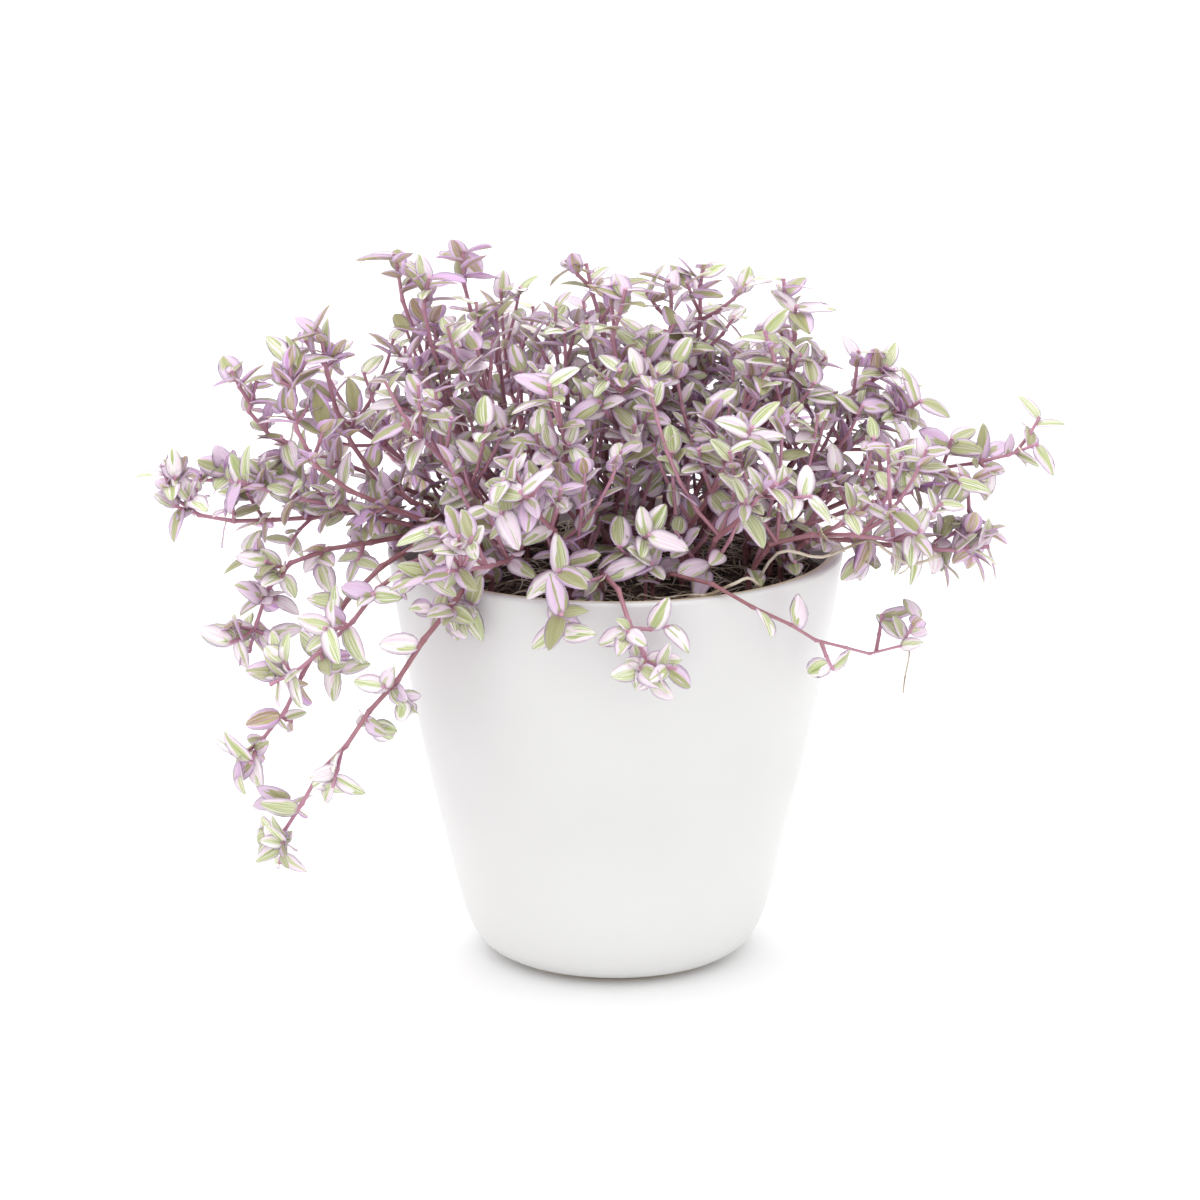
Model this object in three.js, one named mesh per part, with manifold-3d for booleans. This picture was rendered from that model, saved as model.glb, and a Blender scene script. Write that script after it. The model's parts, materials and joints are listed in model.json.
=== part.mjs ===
// Potted tradescantia: a white glazed pot filled with soil, and a mound of leafy stems that spreads past
// its rim. Millimetres, +Z up. The table is at z = 0, the pot's axis is x = y = 0, and the front of the
// plant faces -Y.

import * as THREE from "three";
import Module from "manifold-3d";

const wasm = await Module();
wasm.setup();

// ---- Pot and soil ----

const RIM_RADIUS = 70;
const POT_HEIGHT = 129;
const WALL = 4.5;
const FOOT_RADIUS = 34; // the flat unglazed disc that the pot stands on
const FOOT_RISE = 1;
const CORNER_RADIUS = 50.5; // outer radius where the rounded bottom meets the wall
const CORNER_HEIGHT = 27;
const WALL_BULGE = 1.7; // how far the wall swells past a straight cone, half way up
const FLOOR_HEIGHT = 7;
const POT_SIDES = 36;

const SOIL_EDGE_HEIGHT = 119.5;
const SOIL_MIDDLE_HEIGHT = 123.5;
const SOIL_GAP = 0.3; // between the soil and the pot
const HOLE_FLOOR = 112;
const HOLE_RADIUS = 2.2;
const HOLE_SIDES = 4;

// ---- Stems ----

const STEM_FOOT = HOLE_FLOOR + 0.3;
const STEM_RADIUS = [1.2, 0.8]; // at the foot and at the tip
const SHOOT_RADIUS = [0.5, 0.8];
const INTERNODE = [16, 10]; // spacing of the nodes at the foot and at the tip
const KNEE = 0.7; // how far the stem steps aside at each node
const STEM_GAP = 3.2; // least distance between the middles of two stems
const SOIL_CLEARANCE = 4.6; // least distance between two stems where they leave the soil
const ROUTE_TRIES = 16;
const STRAIGHT_START = 24; // each stem stands upright this far before it bends

const MOUND_RADIUS = [106, 94]; // the mound's reach to the sides and to the front and back
const MOUND_HEIGHT = 79; // above the soil
const BASE_REACH = 55; // stems leave the soil inside this radius
const RULED_STEMS = 23;

// Side shoots: where they leave, as shares of the way up their stem, and how long they are. The stems
// that the photo shows carry short ones, and the others fill the mound between them.
const SHORT_SHOOTS = { places: [0.84, 0.6], length: [8, 15] };
const FILLING_SHOOTS = { places: [0.74], length: [13, 21] };
const SHOOT_STEPS = 2;

// ---- Leaves ----

const LEAF_LENGTH = [9.4, 13.4];
const LEAF_SHARE = [0.48, 0.57]; // width as a share of the length
const BLADE_THICKNESS = 0.95;
const BLADE_FOLD = 0.26; // how steeply the two halves rise from the midrib
const BLADE_ARCH = 0.16; // how far the tip bends down, as a share of the length
// The outline, from the root round by the right half: along the length, and across as a share of half
// the width.
const BLADE_OUTLINE = [
  [0, 0],
  [0.3, -0.92],
  [0.64, -0.82],
  [1, 0],
  [0.64, 0.82],
  [0.3, 0.92],
];
const BLADE_MIDDLE = 0.44;
const ABOVE_NODE = 2.2; // leaves and shoots leave the stem this far above the node
const TIP_SPACING = 2.4; // between the roots of the leaves at a tip
const STEM_TIP_LEAVES = 3;
const SHOOT_TIP_LEAVES = 2;

// Stems that the photo shows one by one: where each leaves the soil, and the points that it passes through.
const SHOWN_STEMS = [
  {
    name: "far_left",
    foot: [-45, -2],
    via: [[-53, -4, 139], [-70, -7, 142], [-90, -8, 140], [-111, -8, 138], [-130, -8, 140],
      [-137, -6, 148], [-138, -5, 155]],
  },
  {
    name: "hanging_long",
    foot: [-37, -40],
    via: [[-40, -50, 134], [-44, -59, 133], [-50, -66, 124], [-59, -68, 113], [-66, -68, 103],
      [-78, -66, 87], [-89, -63, 73], [-98, -60, 58], [-100, -60, 46]],
  },
  {
    name: "hanging_left",
    foot: [-45, -29],
    via: [[-57, -42, 137], [-65, -50, 133], [-74, -55, 125], [-80, -57, 117], [-90, -58, 108],
      [-102, -58, 101]],
  },
  {
    name: "hanging_outer",
    foot: [-51, -19],
    via: [[-62, -31, 136], [-71, -39, 132], [-81, -46, 122], [-90, -50, 108], [-95, -50, 97],
      [-103, -50, 83], [-113, -50, 75]],
  },
  {
    name: "dropping_left",
    foot: [-53, -9],
    via: [[-66, -16, 135], [-82, -24, 135], [-101, -26, 130], [-107, -26, 117], [-111, -26, 102]],
  },
  {
    name: "front_drop",
    foot: [-4, -50],
    via: [[-3, -60, 135], [0, -70, 134], [5, -79, 126], [7, -81, 118], [11, -81, 108]],
  },
  {
    name: "hanging_right",
    foot: [11, -43],
    via: [[17, -53, 133], [29, -63, 133], [39, -67, 129], [49, -66, 122], [62, -54, 113],
      [75, -43, 106], [83, -38, 106], [88, -36, 110], [91, -36, 116]],
  },
  {
    name: "far_right",
    foot: [50, 7],
    via: [[61, 9, 141], [74, 10, 147], [88, 10, 149], [106, 5, 153], [119, 1, 157], [127, 0, 158],
      [129, 0, 161]],
  },
  {
    name: "bowing_right",
    foot: [53, -4],
    via: [[66, -7, 143], [84, -10, 151], [97, -10, 157], [105, -10, 156], [109, -10, 149],
      [107, -10, 141], [110, -12, 133]],
  },
  {
    name: "low_right",
    foot: [50, -20],
    via: [[62, -23, 136], [76, -21, 136], [95, -21, 132], [113, -21, 134]],
  },
  {
    name: "top_left_outer",
    foot: [-30, 13],
    via: [[-42, 16, 150], [-56, 18, 176], [-64, 20, 195], [-67, 20, 212]],
  },
  {
    name: "top_left",
    foot: [-27, 1],
    via: [[-40, 3, 152], [-54, 5, 182], [-59, 5, 202], [-57, 5, 212]],
  },
  {
    name: "top_left_inner",
    foot: [-21, 19],
    via: [[-30, 23, 152], [-41, 28, 180], [-46, 30, 198], [-47, 30, 215]],
  },
  {
    name: "top_middle",
    foot: [-1, -9],
    via: [[1, -12, 150], [2, -15, 176], [-1, -15, 195], [2, -15, 207]],
  },
  {
    name: "top_middle_back",
    foot: [-3, 9],
    via: [[-2, 12, 150], [-3, 14, 178], [-5, 15, 200], [-9, 15, 214]],
  },
  {
    name: "top_right_middle",
    foot: [8, 3],
    via: [[12, 7, 150], [16, 10, 176], [17, 10, 205]],
  },
  {
    name: "top_right",
    foot: [15, 13],
    via: [[20, 16, 150], [25, 19, 180], [26, 20, 206]],
  },
  {
    name: "spike_right",
    foot: [25, -3],
    via: [[36, 0, 150], [50, 4, 176], [56, 5, 190], [52, 5, 203]],
  },
  {
    name: "left_tuft",
    foot: [-39, -11],
    via: [[-54, -11, 142], [-70, -11, 149], [-80, -13, 163], [-86, -15, 180], [-88, -15, 196]],
  },
  {
    name: "left_tuft_front",
    foot: [-44, -20],
    via: [[-60, -21, 143], [-76, -25, 150], [-89, -28, 158], [-96, -29, 173], [-97, -28, 193]],
  },
  {
    name: "left_tuft_back",
    foot: [-49, 7],
    via: [[-64, 6, 146], [-84, 3, 154], [-104, 1, 161], [-113, 0, 169], [-109, 0, 181]],
  },
  {
    name: "right_shoulder",
    foot: [41, 5],
    via: [[52, 4, 150], [66, 2, 172], [79, 0, 182], [85, 0, 184]],
  },
  {
    name: "right_shoulder_back",
    foot: [42, 17],
    via: [[56, 13, 148], [76, 9, 162], [92, 6, 173]],
  },
  {
    name: "left_low",
    foot: [-47, -14],
    via: [[-62, -17, 139], [-84, -19, 146], [-102, -20, 150], [-114, -20, 154]],
  },
  {
    name: "left_low_back",
    foot: [-53, 2],
    via: [[-68, 2, 139], [-92, 4, 144], [-112, 6, 148], [-126, 6, 152]],
  },
  {
    name: "right_low",
    foot: [47, -12],
    via: [[60, -15, 139], [76, -15, 146], [90, -17, 150]],
  },
  {
    name: "right_low_front",
    foot: [40, -31],
    via: [[50, -36, 139], [63, -38, 143], [78, -38, 141], [90, -38, 138]],
  },
  {
    name: "front_star",
    foot: [9, -49],
    via: [[9, -51, 140], [8, -52, 144]],
  },
  {
    name: "front_spill",
    foot: [-13, -46],
    via: [[-13, -54, 138], [-15, -66, 138], [-17, -76, 130], [-15, -79, 122]],
  },
  {
    name: "rim_spill_left",
    foot: [-37, -30],
    via: [[-43, -41, 143], [-49, -51, 147], [-52, -57, 139], [-51, -59, 127], [-47, -59, 119]],
  },
];

const WHITE_GLAZE = { color: "#f4f3f0", roughness: 0.35 };
const DARK_SOIL = { color: "#2f2621", roughness: 0.95 };
const PINK_FOLIAGE = { color: "#b59aae", roughness: 0.5 };

const UP = new THREE.Vector3(0, 0, 1);
const FULL_TURN = 2 * Math.PI;
const GOLDEN_TURN = Math.PI * (3 - Math.sqrt(5));

// A number from 0 to 1 that looks random and is the same on every build, for one draw about one thing.
function chance(thing, draw) {
  const wave = Math.sin(thing * 12.9898 + draw * 78.233 + 1.7) * 43758.5453;
  return wave - Math.floor(wave);
}

function mix([low, high], share) {
  return low + (high - low) * share;
}

// A direction with its part along another taken off, as a unit vector.
function squareTo(direction, along) {
  return direction.clone().addScaledVector(along, -direction.dot(along)).normalize();
}

function soilTop(radius) {
  return SOIL_MIDDLE_HEIGHT - (SOIL_MIDDLE_HEIGHT - SOIL_EDGE_HEIGHT) * (radius / RIM_RADIUS) ** 2;
}

// ---- Solids ----

function solidFrom(geometry) {
  const numbers = new Float32Array(geometry.attributes.position.array);
  return new wasm.Manifold(new wasm.Mesh({
    numProp: 3,
    vertProperties: numbers,
    triVerts: new Uint32Array(geometry.index.array),
  }));
}

function geometryFrom(corners, faces) {
  const geometry = new THREE.BufferGeometry();
  const numbers = corners.flatMap((corner) => corner.toArray());
  geometry.setAttribute("position", new THREE.Float32BufferAttribute(numbers, 3));
  geometry.setIndex(faces.flat());
  return geometry;
}

function meshOf(solid, name, { color, roughness }) {
  const made = solid.getMesh();
  const geometry = new THREE.BufferGeometry();
  geometry.setAttribute("position", new THREE.BufferAttribute(made.vertProperties, 3));
  geometry.setIndex(new THREE.BufferAttribute(made.triVerts, 1));
  const material = new THREE.MeshStandardMaterial({ color, roughness, flatShading: true });
  const mesh = new THREE.Mesh(geometry, material);
  mesh.name = name;
  return mesh;
}

// A three.js primitive as a solid, with the corners that its faces share made one.
function closed(geometry) {
  const positions = geometry.attributes.position;
  const corners = [];
  const seen = new Map();
  const merged = Array.from({ length: positions.count }, (_, i) => {
    const corner = new THREE.Vector3().fromBufferAttribute(positions, i);
    const key = corner.toArray().map((n) => Math.round(n * 1e4)).join();
    if (!seen.has(key)) {
      seen.set(key, corners.length);
      corners.push(corner);
    }
    return seen.get(key);
  });
  const faces = [];
  for (let i = 0; i < geometry.index.count; i += 3) {
    const face = [0, 1, 2].map((k) => merged[geometry.index.getX(i + k)]);
    if (new Set(face).size === 3) faces.push(face);
  }
  return solidFrom(geometryFrom(corners, faces));
}

// A turned solid. The profile runs from the axis, round the outside and back to the axis.
function turned(profile) {
  const points = profile.map(([radius, height]) => new THREE.Vector2(radius, height));
  return closed(new THREE.LatheGeometry(points, POT_SIDES).rotateX(Math.PI / 2));
}

// A three-sided tube through the nodes, with a radius at each.
function tube(nodes, radii) {
  const sides = 3;
  const corners = [];
  const faces = [];
  let across = squareTo(new THREE.Vector3(0.3, 0.9, 0.2), directionAt(nodes, 0));
  nodes.forEach((node, k) => {
    const ahead = directionAt(nodes, k);
    across = squareTo(across, ahead);
    const other = new THREE.Vector3().crossVectors(ahead, across);
    for (let i = 0; i < sides; i += 1) {
      const turn = (FULL_TURN * i) / sides;
      corners.push(node.clone()
        .addScaledVector(across, radii[k] * Math.cos(turn))
        .addScaledVector(other, radii[k] * Math.sin(turn)));
    }
  });
  for (let k = 1; k < nodes.length; k += 1) {
    for (let i = 0; i < sides; i += 1) {
      const next = (i + 1) % sides;
      const [low, high] = [(k - 1) * sides, k * sides];
      faces.push([low + i, low + next, high + next], [low + i, high + next, high + i]);
    }
  }
  const last = (nodes.length - 1) * sides;
  faces.push([0, 2, 1], [last, last + 1, last + 2]);
  return solidFrom(geometryFrom(corners, faces));
}

// One blade: both faces fan out from a middle point to one outline, folded at the midrib and arched.
function blade(leaf, growth = 1) {
  const halfWidth = (leaf.width / 2) * growth;
  const lift = (along) => -BLADE_ARCH * leaf.length * Math.max(along, 0) ** 2;
  const place = (along, across, height) => leaf.root.clone()
    .addScaledVector(leaf.ahead, along * leaf.length * (along > 0 ? growth : 1))
    .addScaledVector(leaf.across, across)
    .addScaledVector(leaf.face, height + lift(along));
  const corners = BLADE_OUTLINE.map(([along, share]) => (
    place(along, share * halfWidth, BLADE_FOLD * Math.abs(share) * halfWidth)
  ));
  const thickness = BLADE_THICKNESS * growth ** 3;
  corners.push(place(BLADE_MIDDLE, 0, thickness / 3), place(BLADE_MIDDLE, 0, (-2 * thickness) / 3));
  const count = BLADE_OUTLINE.length;
  const faces = BLADE_OUTLINE.flatMap((_, i) => [
    [i, (i + 1) % count, count],
    [(i + 1) % count, i, count + 1],
  ]);
  return solidFrom(geometryFrom(corners, faces));
}

// ---- Growth rule ----

function directionAt(nodes, k) {
  const before = nodes[Math.max(k - 1, 0)];
  const after = nodes[Math.min(k + 1, nodes.length - 1)];
  return after.clone().sub(before).normalize();
}

// Cuts the corners of a route twice, so that it bends softly and keeps its ends.
function softened(points) {
  let route = points;
  for (let round = 0; round < 2; round += 1) {
    const cut = [route[0]];
    for (let k = 1; k < route.length; k += 1) {
      cut.push(route[k - 1].clone().lerp(route[k], 0.25), route[k - 1].clone().lerp(route[k], 0.75));
    }
    cut.push(route[route.length - 1]);
    route = cut;
  }
  return route;
}

// Points along a route at growing distances from its start.
function pointsAlong(route, distances) {
  const found = [];
  let walked = 0;
  let leg = 1;
  distances.forEach((distance) => {
    while (leg < route.length - 1 && walked + route[leg - 1].distanceTo(route[leg]) < distance) {
      walked += route[leg - 1].distanceTo(route[leg]);
      leg += 1;
    }
    const share = (distance - walked) / route[leg - 1].distanceTo(route[leg]);
    found.push(route[leg - 1].clone().lerp(route[leg], share));
  });
  return found;
}

// The nodes of a stem: closer together towards the tip, and stepping left and right above the soil.
function stemNodes(points, sideways) {
  const route = softened(points);
  let length = 0;
  for (let k = 1; k < route.length; k += 1) length += route[k - 1].distanceTo(route[k]);
  const count = Math.round(length / ((INTERNODE[0] + INTERNODE[1]) / 2));
  const steps = Array.from({ length: count }, (_, k) => mix(INTERNODE, k / (count - 1)));
  const scale = length / steps.reduce((sum, step) => sum + step, 0);
  const distances = [0];
  steps.forEach((step) => distances.push(distances[distances.length - 1] + step * scale));
  const nodes = pointsAlong(route, distances);
  return nodes.map((node, k) => {
    const knee = k > 1 && k < count ? KNEE * (k % 2 ? 1 : -1) : 0;
    return node.clone().addScaledVector(squareTo(sideways, directionAt(nodes, k)), knee);
  });
}

// Points every few millimetres along a stem, which stand for it when distances are compared.
function beads(nodes) {
  const shares = [0, 0.25, 0.5, 0.75];
  return nodes.slice(1).flatMap((node, k) => shares.map((share) => nodes[k].clone().lerp(node, share)))
    .concat(nodes[nodes.length - 1]);
}

function staysClear(nodes, others) {
  return beads(nodes).every((bead) => others.every((other) => bead.distanceTo(other) >= STEM_GAP));
}

function taper(nodes, radii) {
  return nodes.map((_, k) => mix(radii, k / (nodes.length - 1)));
}

// A leaf on a stem: turned about the stem, leaning out from it, and facing up as far as it can.
function leafOn(node, ahead, spray, turn, lean, length, width) {
  const side = squareTo(spray.sideways, ahead);
  const top = new THREE.Vector3().crossVectors(ahead, side);
  const out = side.multiplyScalar(Math.cos(turn)).addScaledVector(top, Math.sin(turn));
  const along = ahead.clone().multiplyScalar(Math.cos(lean)).addScaledVector(out, Math.sin(lean));
  const sky = UP.clone().addScaledVector(ahead, 0.5).addScaledVector(spray.outward, 0.3);
  const face = squareTo(sky, along);
  const across = new THREE.Vector3().crossVectors(face, along);
  return { root: node, ahead: along, face, across, length, width };
}

// The rosette at the end of a stem or shoot.
function tipLeaves(nodes, spray, count, thing) {
  const tip = nodes[nodes.length - 1];
  const ahead = tip.clone().sub(nodes[nodes.length - 2]).normalize();
  return Array.from({ length: count }, (_, k) => {
    const root = tip.clone().addScaledVector(ahead, -0.9 - TIP_SPACING * k);
    const length = mix(LEAF_LENGTH, chance(thing, 11 + k)) * (1 - 0.07 * k);
    const turn = FULL_TURN * chance(thing, 3) + (k * FULL_TURN) / 2.6;
    const lean = 1.1 - 0.12 * k + 0.3 * chance(thing, 21 + k);
    return leafOn(root, ahead, spray, turn, lean, length, length * mix(LEAF_SHARE, chance(thing, 31 + k)));
  });
}

// The leaf at one node, on the other side from the leaf before it.
function nodeLeaf(nodes, k, spray, thing) {
  const ahead = nodes[k + 1].clone().sub(nodes[k]).normalize();
  const root = nodes[k].clone().addScaledVector(ahead, ABOVE_NODE);
  const length = mix(LEAF_LENGTH, chance(thing, 41 + k));
  const turn = Math.PI * k + Math.abs(ahead.z) * 0.7 * k + 0.9 * (chance(thing, 51 + k) - 0.5);
  const lean = 1.05 + 0.35 * chance(thing, 61 + k);
  return leafOn(root, ahead, spray, turn, lean, length, length * mix(LEAF_SHARE, chance(thing, 71 + k)));
}

// A side shoot leaves its stem on one side and bends up as it grows.
function shootNodes(spray, place, attempt, thing) {
  const k = Math.min(Math.round(place * (spray.nodes.length - 1)), spray.nodes.length - 2);
  const ahead = spray.nodes[k + 1].clone().sub(spray.nodes[k]).normalize();
  const side = squareTo(spray.sideways, ahead);
  const top = new THREE.Vector3().crossVectors(ahead, side);
  const turn = FULL_TURN * chance(thing, 5 + attempt);
  const heading = ahead.clone().multiplyScalar(0.75)
    .addScaledVector(side, Math.cos(turn))
    .addScaledVector(top, Math.sin(turn))
    .normalize();
  const step = mix(spray.habit.length, chance(thing, 81)) / SHOOT_STEPS;
  const nodes = [spray.nodes[k].clone().addScaledVector(ahead, ABOVE_NODE)];
  for (let i = 0; i < SHOOT_STEPS; i += 1) {
    heading.addScaledVector(UP, 0.22).normalize();
    nodes.push(nodes[i].clone().addScaledVector(heading, step));
  }
  return nodes;
}

function stemPoints(foot, via) {
  const [x, y] = foot;
  const points = [[x, y, STEM_FOOT], [x, y, STEM_FOOT + STRAIGHT_START], ...via];
  return points.map((point) => new THREE.Vector3(...point));
}

function sprayFrom(name, number, foot, via, habit) {
  const outward = new THREE.Vector3(foot[0], foot[1], 0).normalize();
  const sideways = new THREE.Vector3(-outward.y, outward.x, 0);
  const nodes = stemNodes(stemPoints(foot, via), sideways);
  return { name, number, foot, outward, sideways, nodes, habit, shoots: [] };
}

// A stem by rule: its tip is one of a spiral of even places on the mound, and it leaves the soil below it.
function ruledRoute(index, attempt) {
  const share = (index + 0.5) / RULED_STEMS;
  const turn = index * GOLDEN_TURN + 0.5 * (chance(index + 200, attempt) - 0.5);
  const reach = share ** 0.5 * mix([0.94, 1.06], chance(index + 200, 30 + attempt));
  const plan = (radius, height) => [radius * Math.cos(turn), radius * Math.sin(turn), height];
  const moundRadius = Math.hypot(MOUND_RADIUS[0] * Math.cos(turn), MOUND_RADIUS[1] * Math.sin(turn));
  const footRadius = BASE_REACH * share ** 0.6 * mix([0.86, 1], chance(index + 200, 60 + attempt));
  const tipRadius = moundRadius * reach;
  const level = Math.sqrt(Math.max(1 - reach ** 2.6, 0.02));
  const growth = mix([0.84, 1], chance(index + 200, 90 + attempt));
  const tipHeight = SOIL_MIDDLE_HEIGHT + MOUND_HEIGHT * level * growth;
  const shoulder = mix([footRadius, tipRadius], 0.42);
  const shoulderHeight = Math.max(mix([SOIL_MIDDLE_HEIGHT + 4, tipHeight], 0.55), 138);
  const outer = mix([footRadius, tipRadius], 0.8);
  const outerHeight = Math.max(mix([SOIL_MIDDLE_HEIGHT + 4, tipHeight], 0.86), 139);
  return {
    foot: plan(footRadius, 0).slice(0, 2),
    via: [plan(shoulder, shoulderHeight), plan(outer, outerHeight), plan(tipRadius, tipHeight)],
  };
}

function growStems() {
  const sprays = SHOWN_STEMS.map(({ name, foot, via }, i) => (
    sprayFrom(`spray_${name}`, i, foot, via, SHORT_SHOOTS)
  ));
  let taken = sprays.flatMap(({ nodes }) => beads(nodes));
  for (let index = 0; index < RULED_STEMS; index += 1) {
    for (let attempt = 0; attempt < ROUTE_TRIES; attempt += 1) {
      const { foot, via } = ruledRoute(index, attempt);
      const roomy = sprays.every((spray) => (
        Math.hypot(spray.foot[0] - foot[0], spray.foot[1] - foot[1]) > SOIL_CLEARANCE
      ));
      const label = String(index + 1).padStart(2, "0");
      const spray = sprayFrom(`spray_${label}`, 100 + index, foot, via, FILLING_SHOOTS);
      if (roomy && staysClear(spray.nodes, taken)) {
        sprays.push(spray);
        taken = taken.concat(beads(spray.nodes));
        break;
      }
    }
  }
  return sprays;
}

// Gives each spray its side shoots, where there is room for them.
function growShoots(sprays) {
  const owned = sprays.map(({ nodes }) => beads(nodes));
  sprays.forEach((spray, i) => {
    spray.habit.places.forEach((place, j) => {
      const others = owned.filter((_, other) => other !== i).flat();
      const thing = spray.number * 10 + j;
      for (let attempt = 0; attempt < ROUTE_TRIES; attempt += 1) {
        const nodes = shootNodes(spray, place, attempt, thing);
        if (nodes.every(({ z }) => z > 60) && staysClear(nodes, others)) {
          spray.shoots.push({ nodes, thing });
          owned[i] = owned[i].concat(beads(nodes));
          break;
        }
      }
    });
  });
}

// ---- Building ----

function potProfile() {
  const profile = [[0, 0], [FOOT_RADIUS, 0], [FOOT_RADIUS, FOOT_RISE]];
  const cornerSteps = 5;
  for (let k = 1; k <= cornerSteps; k += 1) {
    const turn = (Math.PI / 2) * (k / cornerSteps);
    profile.push([
      FOOT_RADIUS + (CORNER_RADIUS - FOOT_RADIUS) * Math.sin(turn),
      CORNER_HEIGHT - (CORNER_HEIGHT - FOOT_RISE) * Math.cos(turn),
    ]);
  }
  [0.35, 0.7].forEach((share) => {
    profile.push([wallRadius(share), mix([CORNER_HEIGHT, POT_HEIGHT], share)]);
  });
  const inner = RIM_RADIUS - WALL;
  profile.push([RIM_RADIUS, POT_HEIGHT - 1.2], [RIM_RADIUS - 1.2, POT_HEIGHT]);
  profile.push([inner + 1.2, POT_HEIGHT], [inner, POT_HEIGHT - 1.2]);
  return profile.concat(hollowProfile(0));
}

function wallRadius(share) {
  return mix([CORNER_RADIUS, RIM_RADIUS], share) + WALL_BULGE * 4 * share * (1 - share);
}

// The inside of the pot below its rim, from the top down to the axis, drawn in by a gap.
function hollowProfile(gap) {
  const side = (share) => [wallRadius(share) - WALL - gap, mix([CORNER_HEIGHT, POT_HEIGHT], share)];
  return [
    side(0.5),
    [CORNER_RADIUS - WALL - gap, CORNER_HEIGHT],
    [FOOT_RADIUS + 2 - gap, FLOOR_HEIGHT + gap],
    [0, FLOOR_HEIGHT + gap],
  ];
}

function soilSolid(sprays) {
  const edgeShare = (SOIL_EDGE_HEIGHT - CORNER_HEIGHT) / (POT_HEIGHT - CORNER_HEIGHT);
  const edge = wallRadius(edgeShare) - WALL - 2 * SOIL_GAP;
  const top = [edge, edge / 2].map((radius) => [radius, soilTop(radius)]);
  const profile = hollowProfile(SOIL_GAP).reverse().concat(top, [[0, soilTop(0)]]);
  const depth = 20;
  const holes = sprays.map(({ foot }) => (
    new THREE.CylinderGeometry(HOLE_RADIUS, HOLE_RADIUS, depth, HOLE_SIDES, 1)
      .rotateX(Math.PI / 2)
      .translate(foot[0], foot[1], HOLE_FLOOR + depth / 2)
  ));
  return holes.reduce((solid, hole) => solid.subtract(closed(hole)), turned(profile));
}

function boxesMeet(a, b) {
  return [0, 1, 2].every((axis) => a.min[axis] <= b.max[axis] && b.min[axis] <= a.max[axis]);
}

function overlap(a, b) {
  return boxesMeet(a.boundingBox(), b.boundingBox()) ? a.intersect(b).volume() : 0;
}

// The leaves of a spray in the order in which they are given room: tips first.
function leavesOf(spray) {
  const last = spray.nodes.length - 1;
  const leaves = tipLeaves(spray.nodes, spray, STEM_TIP_LEAVES, spray.number * 10 + 9);
  spray.shoots.forEach(({ nodes, thing }) => {
    leaves.push(...tipLeaves(nodes, spray, SHOOT_TIP_LEAVES, thing));
  });
  if (last > 3) leaves.push(nodeLeaf(spray.nodes, last - 3, spray, spray.number * 10 + 8));
  return leaves;
}

// The largest body, without loose scraps, and without hollows that the joining sealed.
function soundBody(solid) {
  return solid.decompose().sort((a, b) => b.volume() - a.volume())[0];
}

const plant = new THREE.Group();
plant.name = "potted_tradescantia";

const sprays = growStems();
growShoots(sprays);
const pot = turned(potProfile());
const soil = soilSolid(sprays);
const bodies = sprays.map((spray) => spray.shoots.reduce(
  (solid, { nodes }) => solid.add(tube(nodes, taper(nodes, SHOOT_RADIUS))),
  tube(spray.nodes, taper(spray.nodes, STEM_RADIUS)),
));
const leafLists = sprays.map(leavesOf);
const placed = sprays.map(() => []);
for (let turn = 0; leafLists.some((leaves) => leaves.length > turn); turn += 1) {
  sprays.forEach((_, i) => {
    const leaf = leafLists[i][turn];
    if (!leaf) return;
    const probe = blade(leaf, 1.08);
    const others = [pot, soil, ...bodies.filter((_, other) => other !== i)];
    const crossesOwn = placed[i].some((own) => overlap(own, probe) > 0.03 * probe.volume());
    if (crossesOwn || others.some((other) => overlap(other, probe) > 0)) return;
    const solid = blade(leaf);
    placed[i].push(solid);
    bodies[i] = bodies[i].add(solid);
  });
}

plant.add(meshOf(pot, "pot", WHITE_GLAZE));
plant.add(meshOf(soil, "soil", DARK_SOIL));
sprays.forEach(({ name }, i) => plant.add(meshOf(soundBody(bodies[i]), name, PINK_FOLIAGE)));
export default plant;
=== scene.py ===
# %% [markdown]
# # A potted tradescantia
#
# The object is a white glazed pot, full of soil, with about fifty leafy stems that spread over its rim.
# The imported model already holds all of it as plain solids: the pot, the soil, and one node for each
# stem with its largest leaves. This lesson dresses that frame. The pot and the soil are turned again
# with fine detail, and each stem and its leaves are grown again from the rule that made the solids, so
# that they land in the same places.
#
# Loading the frame first means that each new piece can be checked against the solid that it stands for.

import json
import math
from functools import partial
from types import SimpleNamespace

import bmesh
import bpy
import numpy as np
from mathutils import Matrix, Vector, noise

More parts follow.
